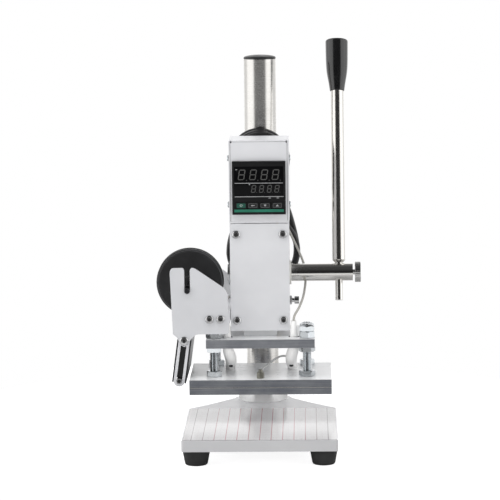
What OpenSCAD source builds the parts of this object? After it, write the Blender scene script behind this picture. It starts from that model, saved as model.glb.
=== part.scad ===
// Bench-top hot foil press: column, sliding head, rack ram, lever, heated plate, foil holder.
// Millimetres. +X right, +Y towards the column, +Z up. Ground at Z = 0.
// Depths inside the modules are counted from the base's front edge; place() centres them.

/* [Base] */
// Width of the base plate
base_w = 137; // [132:1:160]
// Depth of the square work area of the base
table_d = 140; // [139:1:155]
// Whole depth of the base, with its rear neck
base_d = 214; // [212:1:216]
// Thickness of the base plate
base_t = 10; // [8:0.5:10]
// Height of the rubber feet
foot_h = 14; // [12:0.5:14]

/* [Column] */
// Radius of the column
col_r = 15; // [14:0.5:15]
// Height of the column's top above the ground
col_top = 346.7; // [320:0.1:380]
// Distance of the column's axis behind the base's front edge
col_d = 187; // [186:0.5:188]

/* [Drive] */
// Radius of the lever shaft
shaft_r = 8; // [7:0.1:8]
// Gear module of rack and pinion
gear_m = 1.5; // [1.5:0.1:1.5]
// Number of teeth on the pinion
gear_z = 20; // [20:1:20]
// Length of the lever from the shaft's axis to the top of the knob
lever_len = 221; // [180:1:240]
// Backward lean of the lever at rest
lever_lean = 15; // [0:1:20]

/* [Plates] */
// Half width of the heat plate
heat_hw = 64; // [60:0.5:65]
// Half width of the press plate
press_hw = 49; // [48:0.5:52]
// Radius of the foil cheeks
cheek_r = 30.9; // [25:0.1:31]

/* [Hidden] */
$fn = 48;
eps = 0.5;
zb = foot_h + base_t;            // top of the base
ax_d = 136; ax_z = 152.4;        // lever shaft axis
pitch_r = gear_m * gear_z / 2;
rack_d = ax_d - pitch_r;         // pitch line of the rack
hole_x = 30.2; hole_d = 92;      // heater leads through the press plate
stud_x = 42; stud_d = [86.5, 142];
stud_top = [112.8, 105];         // ends of the front and rear studs
// nuts on a stud: height of the lower face, thickness, turn
nuts_front = [[65, 5, 22], [87.2, 4.8, 0], [100, 6.1, 10], [106.1, 6.1, 0]];
nuts_rear = [[65, 5, 8], [87.2, 4.8, 14], [100, 4.2, 20]];
axle_x = -65.1; axle_z = 145.1;
piv_x = -68.5; piv_z = 99.4; arm_tilt = 8; arm_len = 37.6;
disp_z = 236;                    // centre of the controller
key_x = [-16, -5.5, 5.5, 16.5];
key_z = disp_z - 15.7;
bf = 75.5;                       // front face of the front foil bracket
br = 171.5;                      // front face of the rear foil bracket
coil_x = 2; coil_z = 169;        // lower turn of the cord, round the neck
loop_z = 258;                    // upper turn of the cord

// ---- helpers ----
module place() { translate([0, -base_d / 2, 0]) children(); }
module box(x0, x1, d0, d1, z0, z1) { translate([x0, d0, z0]) cube([x1 - x0, d1 - d0, z1 - z0]); }
module xcyl(r, x0, x1, d, z) { translate([x0, d, z]) rotate([0, 90, 0]) cylinder(r = r, h = x1 - x0); }
module ycyl(r, d0, d1, x, z) { translate([x, d0, z]) rotate([-90, 0, 0]) cylinder(r = r, h = d1 - d0); }
module zcyl(r, z0, z1, x, d) { translate([x, d, z0]) cylinder(r = r, h = z1 - z0); }
module zhex(af, z0, z1, x, d, a = 0) {
  translate([x, d, z0]) rotate([0, 0, a]) cylinder(r = af / sqrt(3), h = z1 - z0, $fn = 6);
}
// plate with an outline in X and Z, from depth d0 to d1
module upright(d0, d1) { translate([0, d1, 0]) rotate([90, 0, 0]) linear_extrude(d1 - d0) children(); }
// turned piece along the depth axis: profile is [radius, depth]
module yturn(x, z) { translate([x, 0, z]) rotate([-90, 0, 0]) rotate_extrude() children(); }

function unit(v) = v / norm(v);
function tang(p, i) = i == 0 ? unit(p[1] - p[0]) : i == len(p) - 1 ? unit(p[i] - p[i - 1])
  : unit(unit(p[i + 1] - p[i]) + unit(p[i] - p[i - 1]));
function square_to(v, t) = unit(v - (v * t) * t);
function normals(p, i, n) = i == len(p) ? []
  : let (m = square_to(n, tang(p, i))) concat([m], normals(p, i + 1, m));
function spline(a, b, c, e, t) = 0.5 * (2 * b + (c - a) * t + (2 * a - 5 * b + 4 * c - e) * t * t
  + (3 * b - a - 3 * c + e) * t * t * t);
// the route through the points p, with k steps between neighbours
function route(p, k) = concat([for (i = [0:len(p) - 2], j = [0:k - 1])
  spline(p[max(i - 1, 0)], p[i], p[i + 1], p[min(i + 2, len(p) - 1)], j / k)], [p[len(p) - 1]]);
// round tube of n sides along the points p; r is its radius, or one radius per point
module tube(p, r, n) {
  m = len(p);
  rr = is_list(r) ? r : [for (v = p) r];
  t0 = tang(p, 0);
  ns = normals(p, 0, abs(t0[0]) < 0.8 ? [1, 0, 0] : [0, 1, 0]);
  pts = [for (i = [0:m - 1], k = [0:n - 1]) let (t = tang(p, i))
    p[i] + rr[i] * (cos(360 * k / n) * ns[i] + sin(360 * k / n) * cross(t, ns[i]))];
  sides = [for (i = [0:m - 2], k = [0:n - 1], h = [0:1]) let (a = i * n + k, b = i * n + (k + 1) % n)
    h == 0 ? [a, a + n, b] : [b, a + n, b + n]];
  polyhedron(points = pts, faces = concat([[for (k = [0:n - 1]) k]], sides,
    [[for (k = [n - 1:-1:0]) (m - 1) * n + k]]), convexity = 10);
}
// the same along points [x, d, z, radius]
module flared(q, n) { tube([for (v = q) [v[0], v[1], v[2]]], [for (v = q) v[3]], n); }
// curved side of the base's neck, from the work area to the boss round the column
function neck_pt(t) = [(1 - t) * (1 - t) * (base_w / 2 - 1) + 2 * t * (1 - t) * 45 + t * t * 25.8,
  (1 - t) * (1 - t) * (table_d + 2) + 2 * t * (1 - t) * 164 + t * t * 192];

// ---- base and column ----
module base_plate() {
  side = [for (i = [0:10]) neck_pt(i / 10)];
  boss = [for (a = [0:6:90]) [27 * cos(a * 0.9 + 9), col_d + 27 * sin(a * 0.9 + 9)]];
  right = concat([[base_w / 2 - 1.5, 0], [base_w / 2, 1.5], [base_w / 2, table_d]], side, boss);
  color("lightgray") place() difference() {
    translate([0, 0, foot_h]) linear_extrude(base_t) polygon(concat(right,
      [for (i = [len(right) - 1:-1:0]) [-right[i][0], right[i][1]]]));
    for (x = [-56, 56], d = [15, 125]) zcyl(2.1, foot_h - 1, zb - 2, x, d);
    zcyl(4.2, foot_h - 1, zb + 1, 0, col_d);
    zcyl(7.5, foot_h - 1, foot_h + 6, 0, col_d);
  }
}
module grid_sheet() { color("white") place() box(-base_w / 2 + 1, base_w / 2 - 1, 1, table_d - 1, zb, zb + 0.3); }
module rubber_feet() {
  color([0.07, 0.07, 0.07]) place() for (x = [-56, 56], d = [15, 125]) translate([x, d, 0])
    rotate_extrude() polygon([[5, 0], [9, 0], [10, 1], [12.5, foot_h - 1], [12.5, foot_h],
      [2.1, foot_h], [2.1, 5], [5, 5]]);
}
module foot_screws() {
  color("silver") place() for (x = [-56, 56], d = [15, 125]) difference() {
    union() { zcyl(4, 2, 5, x, d); zcyl(1.95, 5, zb - 3, x, d); }
    zhex(2.5, 1, 3.6, x, d);
  }
}
module column() {
  color("gainsboro") place() difference() {
    zcyl(col_r, zb, col_top, 0, col_d);
    zcyl(4, zb - 1, zb + 20, 0, col_d);
    zcyl(6, col_top - 10, col_top + 1, 0, col_d);
  }
}
module column_bolt() {
  color("silver") place() difference() {
    union() { zcyl(6.5, foot_h + 0.5, foot_h + 6, 0, col_d); zcyl(4, foot_h + 6, zb + 19.5, 0, col_d); }
    zhex(5, foot_h, foot_h + 3.5, 0, col_d);
  }
}
module column_collar() {
  color("gainsboro") place() translate([0, col_d, zb]) rotate_extrude()
    polygon([[col_r + 0.02, 0], [23, 0], [23, 22.5], [21.5, 24], [col_r + 0.02, 24]]);
}
module column_cap() {
  color([0.06, 0.06, 0.06]) place() translate([0, col_d, col_top]) rotate_extrude()
    polygon(concat([[0, -9.5], [5.98, -9.5], [5.98, 0], [col_r - 0.1, 0], [col_r, 0.4], [col_r, 1.3]],
      [for (a = [10:10:90]) [col_r * cos(a), 1.3 + 2.6 * sin(a)]]));
}

// ---- head ----
module head_frame() {
  color([0.86, 0.86, 0.87]) place() difference() {
    union() {
      box(-26.5, 26.5, 95, 156, 105.4, 203.8);
      ycyl(25.2, 155, 175, 0, 171.2);
      zcyl(24, 153, 189, 0, col_d);
      box(-11, 11, 190, 213.5, 153, 189);
    }
    // channel of the ram and the gib
    box(-15, 18, 90, 123, 100, 210);
    // room for the pinion
    xcyl(17.2, -15, 15, ax_d, ax_z);
    box(-15, 15, 118, ax_d, ax_z - 17.2, ax_z + 17.2);
    // seats of the bushes
    xcyl(10, -30, 30, ax_d, ax_z);
    // column bore, clamp slit and clamp screws
    zcyl(col_r + 0.04, 100, 250, 0, col_d);
    box(-1.5, 1.5, 195, 220, 140, 200);
    for (z = [162, 180]) { xcyl(3.1, -1, 20, 207.5, z); xcyl(2.5, -20, 1, 207.5, z); xcyl(5.4, 11, 30, 207.5, z); }
    // cross pin, gib screw, lead hole
    xcyl(3, -30, 30, 109, 124);
    xcyl(2, 15, 30, 101, 132);
    xcyl(1.6, -30, -18, 110, 134);
    // threads of the cover, bar and box screws
    for (x = [-21, 21], z = [115, 193.5]) ycyl(2, 94, 105, x, z);
    for (d = [100, 150]) xcyl(2, -30, -17.5, d, 121);
    for (x = [-21, 21]) zcyl(1.5, 194, 204, x, 130);
  }
}
module front_cover() {
  color([0.85, 0.85, 0.87]) place() difference() {
    box(-26.8, 26.8, 92, 95, 105.4, 203.2);
    for (x = [-21, 21], z = [115, 193.5]) ycyl(2.15, 91, 96, x, z);
  }
}
// button-head screw along the depth axis, head towards the front at depth d
module button_screw(x, z, d, len, hr = 4, sr = 1.9) {
  difference() {
    yturn(x, z) polygon(concat([[0, d + len], [sr, d + len], [sr, d], [hr, d], [hr, d - 0.6]],
      [for (a = [15:15:75]) [hr - 1.9 * (1 - cos(a)), d - 0.6 - 2 * sin(a)]], [[0, d - 2.6]]));
    translate([x, d - 3, z]) rotate([-90, 30, 0]) cylinder(r = 1.9, h = 2.4, $fn = 6);
  }
}
module cover_screws() {
  color("dimgray") place() for (x = [-21, 21], z = [115, 193.5]) button_screw(x, z, 92, 11.5);
}
module shaft_bushes() {
  color("ivory") place() for (s = [-1, 1]) difference() {
    union() {
      xcyl(10, s > 0 ? 15.2 : -26.5, s > 0 ? 26.5 : -15.2, ax_d, ax_z);
      xcyl(11, s > 0 ? 26.5 : -28.1, s > 0 ? 28.1 : -26.5, ax_d, ax_z);
    }
    xcyl(shaft_r + 0.06, -40, 40, ax_d, ax_z);
  }
}
module gib_strip() {
  color("goldenrod") place() difference() { box(15, 18, 96, 118, 107, 201); xcyl(3.2, 14, 19, 109, 124); }
}
module gib_screw() {
  color([0.1, 0.1, 0.1]) place() {
    difference() {
      union() { xcyl(1.95, 18, 31.2, 101, 132); xcyl(3.4, 31, 35.2, 101, 132); }
      translate([33, 101, 132]) rotate([0, 90, 0]) cylinder(r = 1.7, h = 4, $fn = 6);
    }
    difference() {
      translate([26.5, 101, 132]) rotate([0, 90, 0]) cylinder(r = 4.04, h = 2.2, $fn = 6);
      xcyl(2, 26, 30, 101, 132);
    }
  }
}
module spring_pin() { color("silver") place() xcyl(3, -26.5, 26.5, 109, 124); }
module clamp_screws() {
  color([0.15, 0.15, 0.16]) place() for (z = [162, 180]) difference() {
    union() { xcyl(2.5, -10, 11, 207.5, z); xcyl(5, 11, 17, 207.5, z); }
    translate([14, 207.5, z]) rotate([0, 90, 0]) cylinder(r = 2.8, h = 4, $fn = 6);
  }
}

// ---- controller box ----
module controller_panel() {
  color([0.84, 0.84, 0.86]) place() difference() {
    union() {
      box(-25.35, 25.35, 92, 93.2, 205, 278.5);
      box(-25.8, 25.8, 92, 141, 277.3, 278.5);
      box(-25.8, 25.8, 139.8, 141, 205, 278.5);
      for (s = [-1, 1]) box(s > 0 ? 24.6 : -25.8, s > 0 ? 25.8 : -24.6, 92.6, 104, 206, 276);
    }
    box(-22.7, 22.7, 91, 94, disp_z - 22.7, disp_z + 22.7);
    ycyl(5, 139, 142, 20, 218);
    ycyl(1.5, 139, 142, 8, 209.5);
    for (z = [220, 262]) xcyl(1.5, -30, 30, 99, z);
    // bend line and bend reliefs at the top
    box(-25, 25, 91, 92.5, 276.9, 277.3);
    for (s = [-1, 1]) ycyl(1.1, 90, 94.2, s * 25.2, 277.2);
  }
}
module controller_chassis() {
  color([0.83, 0.83, 0.85]) place() difference() {
    union() {
      for (s = [-1, 1]) box(s > 0 ? 25.8 : -27, s > 0 ? 27 : -25.8, 92, 141, 203.8, 278.5);
      box(-26, 26, 92, 141, 203.8, 205);
    }
    for (z = [220, 262]) xcyl(1.6, -30, 30, 99, z);
    for (x = [-21, 21]) zcyl(1.6, 203, 206, x, 130);
  }
}
module panel_screws() {
  color("gainsboro") place() {
    for (s = [-1, 1], z = [220, 262]) translate([s * 27, 99, z]) rotate([0, s * 90, 0]) difference() {
      rotate_extrude() polygon([[0, -4], [1.45, -4], [1.45, 0], [2.8, 0], [2.8, 0.8], [2.2, 1.5], [0, 1.8]]);
      for (a = [0, 90]) rotate([0, 0, a]) translate([-1.6, -0.3, 0.9]) cube([3.2, 0.6, 2]);
    }
    for (x = [-21, 21]) { zcyl(1.45, 195, 205, x, 130); zcyl(2.8, 205, 206.8, x, 130); }
  }
}
module temp_controller() {
  color([0.05, 0.05, 0.05]) place() difference() {
    union() {
      box(-24, 24, 87, 92, disp_z - 24, disp_z + 24);
      box(-23.2, 23.2, 86.5, 87.2, disp_z - 23.2, disp_z + 23.2);
      box(-22.5, 22.5, 91, 134, disp_z - 22.5, disp_z + 22.5);
    }
    // recess of the display window, pockets of the keys
    box(-22, 22, 86, 86.9, disp_z - 7, disp_z + 19.5);
    for (x = key_x) box(x - 4.8, x + 4.8, 86, 89.4, key_z - 2.9, key_z + 2.9);
  }
}
module key_cap(i) {
  color([0.12, 0.12, 0.13]) place() box(key_x[i] - 4.4, key_x[i] + 4.4, 86.1, 88.6, key_z - 2.5, key_z + 2.5);
}
module key_set() { key_cap(0); }
module key_shift() { key_cap(1); }
module key_down() { key_cap(2); }
module key_up() { key_cap(3); }

// ---- leads between head and heat plate ----
lead_right = [[8, 138, 209.5], [8, 145, 209.5], [11, 151, 208.5], [16, 156.5, 205.6], [20.5, 158.6, 199],
  [25.5, 158.8, 189.5], [31, 158.5, 178], [36, 157.5, 167], [39.8, 155, 157], [41.2, 150, 148], [41, 141, 141.5],
  [40.3, 128, 138], [39.5, 114, 135.5], [38, 104, 131.5], [35, 96.5, 125.5], [31.4, 92.6, 120], [hole_x, hole_d, 115],
  [hole_x, hole_d, 100], [hole_x, hole_d, 86.5]];
lead_left = [[-19.5, 110, 134], [-26, 110, 134], [-28.9, 107.5, 134], [-hole_x, 101, 133.2], [-hole_x, 95.2, 130.2],
  [-hole_x, 92.3, 124.5], [-hole_x, hole_d, 115], [-hole_x, hole_d, 100], [-hole_x, hole_d, 86.5]];
// soft sleeves: x, depth, height and radius of the outside, then of the bore
sleeve_out = [[hole_x, hole_d, 114.4, 2.4], [hole_x, hole_d, 108, 2.9], [hole_x, hole_d, 100, 3.5], [hole_x, 92.1, 93, 4.2],
  [29.3, 92.9, 87, 4.9], [27.8, 97, 80.8, 5.2], [27.6, 104.5, 76, 5.1], [28, 113, 72, 4.8], [28.6, 119.5, 67.8, 4.5],
  [28.8, 122, 62, 4.4]];
sleeve_in = [[hole_x, hole_d, 116, 1.8], [hole_x, hole_d, 108, 1.9], [hole_x, hole_d, 100, 2.4], [hole_x, 92.1, 93, 3],
  [29.3, 92.9, 87, 3.5], [27.8, 97, 80.8, 3.6], [27.6, 104.5, 76, 3]];
module heater_leads() {
  color("tan") place() { tube(route(lead_right, 3), 1.1, 8); tube(route(lead_left, 3), 1.1, 8); }
}
module heater_sleeves() {
  color("ivory") place() for (s = [0, 1]) mirror([s, 0, 0]) difference() {
    flared(route(sleeve_out, 2), 16);
    flared(route(sleeve_in, 2), 12);
    box(0, 60, 90, 150, 40, 65);
  }
}
module thermocouple() {
  color("darkkhaki") place() {
    zhex(6.2, 65, 70.5, 0, 75, 15);
    zcyl(2, 70.5, 73, 0, 75);
    zcyl(1.5, 60.5, 65, 0, 75);
  }
}
module thermocouple_lead() {
  color("lightgray") place() tube(route([[0, 77.1, 72], [3, 82, 73.2], [8, 89.5, 76], [14, 95.5, 79.3],
    [19, 97.5, 81], [22.3, 97.4, 81]], 3), 0.9, 8);
}

// ---- foil holder ----
module bracket_outline() {
  difference() {
    polygon([[-80.6, 160.6], [-80.4, 162.8], [-79.5, 164.5], [-78, 165.3], [-76.5, 165.5], [-60, 165.5], [-58.4, 165.1],
      [-57, 164.3], [-33.4, 148], [-30.6, 145.2], [-29.2, 142.4], [-28.7, 139.5], [-27.8, 107.6], [-28.3, 106], [-29.6, 105.3],
      [-55.6, 105.3], [-57.6, 104.9], [-59.2, 103.9], [-63.4, 99.4], [-65, 95.4], [-68.5, 93.8], [-72, 95.4], [-73.6, 99.4],
      [-74.6, 102], [-78.6, 105.6]]);
    translate([axle_x - 2.55, axle_z]) square([5.1, 30]);
    // rounded mouth of the slot
    translate([axle_x, 0]) polygon([[-4.4, 166], [-3.6, 165.2], [-2.9, 164.3], [-2.5, 163], [2.5, 163], [2.9, 164.3],
      [3.6, 165.2], [4.4, 166]]);
    translate([axle_x, axle_z]) circle(r = 2.55);
    translate([piv_x, piv_z]) circle(r = 2.5);
    for (x = [-45.5, -35.5]) translate([x, 119]) circle(r = 2.1);
  }
}
module foil_bracket_front() { color([0.87, 0.87, 0.88]) place() upright(bf, bf + 2.5) bracket_outline(); }
module foil_bracket_rear() { color([0.87, 0.87, 0.88]) place() upright(br, br + 2.5) bracket_outline(); }
module bracket_bar() {
  color([0.8, 0.8, 0.82]) place() difference() {
    union() { box(-50.5, -27.2, bf + 2.5, 96, 114.9, 126); box(-50.5, -26.5, 95.4, br, 114.9, 126); }
    ycyl(cheek_r + 1.5, 119, 145, axle_x, axle_z);
    zcyl(1.7, 110, 130, -hole_x, hole_d);
    for (x = [-45.5, -35.5]) { ycyl(2, bf, bf + 15, x, 119); ycyl(2, br - 13, br + 3, x, 119); }
    for (d = [100, 150]) xcyl(2.1, -60, -20, d, 121);
  }
}
module bracket_screws() {
  color("dimgray") place() {
    for (x = [-45.5, -35.5]) {
      button_screw(x, 119, bf, 12);
      translate([0, 2 * br + 2.5, 0]) mirror([0, 1, 0]) button_screw(x, 119, br, 12);
    }
    for (d = [100, 150]) { xcyl(1.95, -50.5, -18, d, 121); xcyl(3.5, -52.9, -50.5, d, 121); }
  }
}
module arm_pivots() {
  color("silver") place() for (f = [0, 1]) translate([0, f * (bf + br + 2.5), 0]) mirror([0, f, 0])
    yturn(piv_x, piv_z) polygon([[0, bf + 5.2], [2.5, bf + 5.2], [2.5, bf], [4, bf], [4, bf - 1.8],
      [3.2, bf - 2.7], [0, bf - 2.9]]);
}
module foil_axle() {
  color("gainsboro") place() yturn(axle_x, axle_z) polygon([[0, 71.5], [2, 71.5], [2.5, 72], [2.5, 79], [4, 79],
    [4, 82], [2.5, 82], [2.5, 168], [4, 168], [4, 171], [2.5, 171], [2.5, 177.5], [2, 178], [0, 178]]);
}
module foil_cheeks() {
  color([0.09, 0.09, 0.09]) place() {
    yturn(axle_x, axle_z) polygon([[2.5, 120], [7, 120], [7, 126], [cheek_r - 0.6, 126], [cheek_r, 126.6],
      [cheek_r, 129.2], [cheek_r - 0.6, 129.8], [2.5, 129.8]]);
    yturn(axle_x, axle_z) polygon([[2.5, 134.2], [cheek_r - 0.6, 134.2], [cheek_r, 134.8], [cheek_r, 137.4],
      [cheek_r - 0.6, 138], [7, 138], [7, 144], [2.5, 144]]);
  }
}
// pieces of the guide arm hang from the pivot along -Z before they are tilted
module tilted() { translate([piv_x, 0, piv_z]) rotate([0, arm_tilt, 0]) children(); }
module guide_arms() {
  color([0.87, 0.87, 0.88]) place() tilted() for (d = [bf + 2.8, br - 2.3]) upright(d, d + 2) difference() {
    union() { translate([-5.1, -arm_len]) square([10.2, arm_len]); circle(r = 5.1); translate([0, -arm_len]) circle(r = 5.1); }
    circle(r = 2.55);
    translate([-2.55, -arm_len]) square([5.1, arm_len - 6]);
    translate([0, -arm_len]) circle(r = 2.55);
    translate([0, -6]) circle(r = 2.55);
  }
}
module guide_plates() {
  color([0.2, 0.2, 0.2]) place() tilted() for (x = [-6.4, 5.1]) box(x, x + 1.3, bf + 2.8, br - 0.3, -arm_len - 1.5, 0);
}
module guide_rod() { color("gray") place() tilted() ycyl(2.5, bf + 1.3, br + 1.2, 0, -arm_len); }

// ---- power cord ----
cord_in = [[20, 159, 218], [20.1, 163, 217.8], [21.2, 173, 215], [23.4, 181.3, 209.2], [26.2, 186.7, 200.7],
  [28.9, 188.5, 190.8], [31.4, 187.2, 180.7], [32.9, 183.9, 170.9], [32.4, 179.8, 161.3], [29.1, 175.6, 152.3],
  [22.6, 172, 144.9], [15.4, 169.8, 140.5]];
cord_out = [[-23.5, 168, 257], [-24, 170.4, 247], [-25, 177.2, 234.5], [-25, 187.2, 223], [-22, 198, 213],
  [-15, 207.2, 205.5], [-7, 214.2, 197.5], [-2, 218.2, 187.5], [0, 219.5, 175], [0, 219.5, 160], [0, 219.5, 146]];
module cord_gland() {
  color([0.05, 0.05, 0.05]) place() yturn(20, 218) polygon([[2.9, 137], [5, 137], [5, 141], [5.5, 141], [5.5, 143],
    [5, 143.5], [3.7, 159], [2.9, 159]]);
}
module cord_lead_in() { color([0.05, 0.05, 0.05]) place() tube(route(cord_in, 2), 2.9, 10); }
module cord_tail() { color([0.05, 0.05, 0.05]) place() tube(route(cord_out, 2), 2.9, 10); }
module cord_hank() {
  color([0.06, 0.06, 0.06]) place() difference() {
    union() {
      upright(156.4, 171.6) union() {
        difference() {
          translate([coil_x, coil_z]) circle(r = 34.6);
          translate([coil_x, coil_z]) circle(r = 28.6);
        }
        translate([-4, 213.5]) rotate(-37) translate([-3, -26]) square([6, 53]);
      }
      upright(143.7, 171) difference() {
        translate([0, loop_z]) circle(r = 26.4);
        translate([0, loop_z]) circle(r = 20.4);
      }
    }
    box(5, 50, 150, 160.8, 165, 205);
  }
}
module cord_tie() {
  color([0.1, 0.1, 0.1]) place() translate([0, 0, 229]) linear_extrude(5) difference() {
    union() { translate([0, col_d]) circle(r = 16.8); translate([-16.8, 142]) square([33.6, col_d - 142]); }
    union() { translate([0, col_d]) circle(r = 15.5); translate([-15.5, 143.3]) square([31, col_d - 143.3]); }
  }
}
module power_plug() {
  color([0.05, 0.05, 0.05]) place() {
    translate([0, 219.5, 0]) rotate_extrude() polygon([[2.9, 118], [6.5, 118], [3.8, 146], [2.9, 146]]);
    difference() {
      union() { box(-13, 13, 208.5, 230.5, 90, 114); zcyl(9, 114, 119, 0, 219.5); }
      zcyl(2.9, 117, 120, 0, 219.5);
    }
    for (x = [-6.35, 6.35]) box(x - 0.75, x + 0.75, 213.5, 219.8, 72, 90);
    zcyl(2.4, 69, 90, 0, 225.5);
  }
}

// ---- lever and drive ----
module along_lever() { translate([72, ax_d, ax_z]) rotate([-lever_lean, 0, 0]) children(); }
module lever_shaft() {
  color("gainsboro") place() difference() {
    xcyl(shaft_r, -30.5, 84.7, ax_d, ax_z);
    difference() { xcyl(20, -29.4, -28.4, ax_d, ax_z); xcyl(shaft_r - 1, -31, -27, ax_d, ax_z); }
    along_lever() translate([0, 0, -30]) cylinder(r = 3.5, h = 60);
    xcyl(2.45, 75.7, 90, ax_d, ax_z);
  }
}
module shaft_ring() {
  color("silver") place() difference() {
    xcyl(11, -29.4, -28.4, ax_d, ax_z);
    xcyl(shaft_r - 1, -31, -27, ax_d, ax_z);
  }
}
// half angle of a pinion tooth at four radii, thinned for backlash
tooth = [[13.0, 5.0], [14.1, 4.7], [15.0, 3.9], [16.3, 1.5]];
module drive_pinion() {
  pts = [for (i = [0:gear_z - 1]) let (a = i * 360 / gear_z) each concat(
    [for (k = [0:3]) tooth[k][0] * [cos(a - tooth[k][1]), sin(a - tooth[k][1])]],
    [for (k = [3:-1:0]) tooth[k][0] * [cos(a + tooth[k][1]), sin(a + tooth[k][1])]])];
  color("silver") place() translate([-11, ax_d, ax_z]) rotate([0, 90, 0]) rotate([0, 0, 90])
    linear_extrude(22) difference() { polygon(pts); circle(r = shaft_r); }
}
module lever_rod() {
  color("gainsboro") place() along_lever() {
    translate([0, 0, -26]) cylinder(r = 3.5, h = 40);
    translate([0, 0, 8.4]) rotate_extrude() polygon([[0, 0], [3.6, 0], [6, 2.6], [6, lever_len - 33 - 8.4],
      [0, lever_len - 33 - 8.4]]);
  }
}
module lever_knob() {
  L = lever_len;
  color([0.04, 0.04, 0.04]) place() along_lever() rotate_extrude() polygon(concat(
    [[6, L - 52], [6.5, L - 52], [7, L - 51], [7.25, L - 48], [7.9, L - 42], [8.6, L - 36], [9.2, L - 30], [9.5, L - 22],
      [9.85, L - 12], [10.2, L - 3.2]],
    [for (a = [15:15:75]) [8.2 + 2 * cos(a), L - 3 + 2 * sin(a)]],
    [[6, L - 0.5], [0, L], [0, L - 33], [6, L - 33]]));
}
module thumb_screw() {
  color("gainsboro") place() {
    xcyl(2.4, 76.2, 87, ax_d, ax_z);
    translate([86.6, ax_d, ax_z]) rotate([0, 90, 0]) rotate_extrude()
      polygon([[0, 0], [8.7, 0], [9.4, 0.7], [9.4, 4.7], [8.7, 5.4], [0, 5.4]]);
  }
}

// ---- ram ----
module ram() {
  p = PI * gear_m;
  rk = [for (i = [-8:7]) each [[rack_d - 1.9, i * p + 0.5], [rack_d - 1.9, i * p + 0.57], [rack_d + 1.4, i * p + 1.77],
    [rack_d + 1.4, i * p + 2.95], [rack_d - 1.9, i * p + 4.14]]];
  color("silver") place() difference() {
    union() {
      box(-14.95, 14.95, 95.3, rack_d - 1.9, 100, 193);
      translate([-12, 0, ax_z]) rotate([90, 0, 90]) linear_extrude(24)
        polygon(concat(rk, [[rack_d - 6, 8 * p], [rack_d - 6, -8 * p]]));
    }
    zcyl(6.6, 99, 176, 0, 109);
    box(-20, 20, 105.8, 112.2, 120.6, 155);
    for (x = [-10.5, 10.5], d = [101.5, 116]) zcyl(2.5, 99, 113, x, d);
  }
}
module csk(x, d, z, len, r) {
  difference() {
    translate([x, d, z]) rotate_extrude() polygon([[0, 0], [r * 2, 0], [r, r], [r, len], [0, len]]);
    zhex(r * 1.1, z - 1, z + r * 0.9, x, d);
  }
}
module csk_hole(x, d, z, r) {
  translate([x, d, z]) rotate_extrude() polygon([[0, -1], [r * 2.05 + 1, -1], [r * 2.05, 0], [r * 1.02, r * 1.03], [r * 1.02, 30], [0, 30]]);
}
module press_plate() {
  color([0.72, 0.73, 0.76]) place() difference() {
    box(-press_hw, press_hw, 76, 152, 92, 100);
    for (x = [-stud_x, stud_x], d = stud_d) zcyl(4.2, 91, 101, x, d);
    for (s = [-1, 1]) zcyl(5, 91, 101, s * hole_x, hole_d);
    for (x = [-10.5, 10.5], d = [101.5, 116]) csk_hole(x, d, 92, 2.45);
  }
}
module plate_screws() {
  color([0.3, 0.3, 0.32]) place() {
    for (x = [-10.5, 10.5], d = [101.5, 116]) csk(x, d, 92, 20, 2.45);
    for (x = [-56, 56], d = [75, 141]) csk(x, d, 51.6, 11.5, 1.95);
  }
}
module plate_studs() {
  color("silver") place() for (x = [-stud_x, stud_x], i = [0, 1]) translate([x, stud_d[i], 0]) rotate_extrude()
    polygon([[0, 59.8], [4, 59.8], [4, stud_top[i] - 0.7], [3.3, stud_top[i]], [0, stud_top[i]]]);
}
module plate_nuts() {
  color("silver") place() for (x = [-stud_x, stud_x], i = [0, 1], n = i == 0 ? nuts_front : nuts_rear) difference() {
    zhex(13, n[0], n[0] + n[1], x, stud_d[i], n[2]);
    zcyl(4.02, n[0] - 1, n[0] + 8, x, stud_d[i]);
  }
}
module heat_plate() {
  color([0.66, 0.67, 0.7]) place() difference() {
    box(-heat_hw, heat_hw, 66, 150, 58, 65);
    box(-34, 34, 80, 136, 57, 59.6);
    for (x = [-stud_x, stud_x], d = stud_d) zcyl(4, 59.8, 66, x, d);
    for (s = [-1, 1]) zcyl(1.8, 58, 66, s * 28.8, 122);
    zcyl(1.5, 60, 66, 0, 75);
    for (x = [-56, 56], d = [75, 141]) zcyl(2, 57, 63.5, x, d);
  }
}
module die_plate() {
  color([0.6, 0.61, 0.64]) place() difference() {
    box(-heat_hw, heat_hw, 66, 150, 51.6, 58);
    for (x = [-56, 56], d = [75, 141]) csk_hole(x, d, 51.6, 1.95);
  }
}
module heater_element() { color("peru") place() box(-33.6, 33.6, 80.4, 135.6, 58.05, 59.5); }
module return_spring() {
  n = 9;
  color("silver") place() tube([for (i = [0:n * 14]) let (f = i / (n * 14), a = i * 360 / 14)
    [5.2 * cos(a), 109 + 5.2 * sin(a), 127.9 + 47.2 * f]], 0.7, 8);
}

base_plate();
grid_sheet();
rubber_feet();
foot_screws();
column();
column_bolt();
column_collar();
column_cap();
head_frame();
front_cover();
cover_screws();
shaft_bushes();
gib_strip();
gib_screw();
spring_pin();
clamp_screws();
controller_panel();
controller_chassis();
panel_screws();
temp_controller();
heater_leads();
foil_bracket_front();
foil_bracket_rear();
bracket_bar();
bracket_screws();
arm_pivots();
cord_gland();
cord_lead_in();
cord_hank();
cord_tail();
power_plug();
cord_tie();
lever_shaft();
drive_pinion();
shaft_ring();
lever_rod();
lever_knob();
thumb_screw();
ram();
press_plate();
plate_screws();
plate_studs();
plate_nuts();
heat_plate();
die_plate();
heater_element();
thermocouple();
thermocouple_lead();
heater_sleeves();
return_spring();
foil_axle();
foil_cheeks();
guide_arms();
guide_plates();
guide_rod();
key_set();
key_shift();
key_down();
key_up();
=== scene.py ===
import bpy, bmesh, math
from mathutils import Vector, Matrix, noise as mnoise


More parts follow.
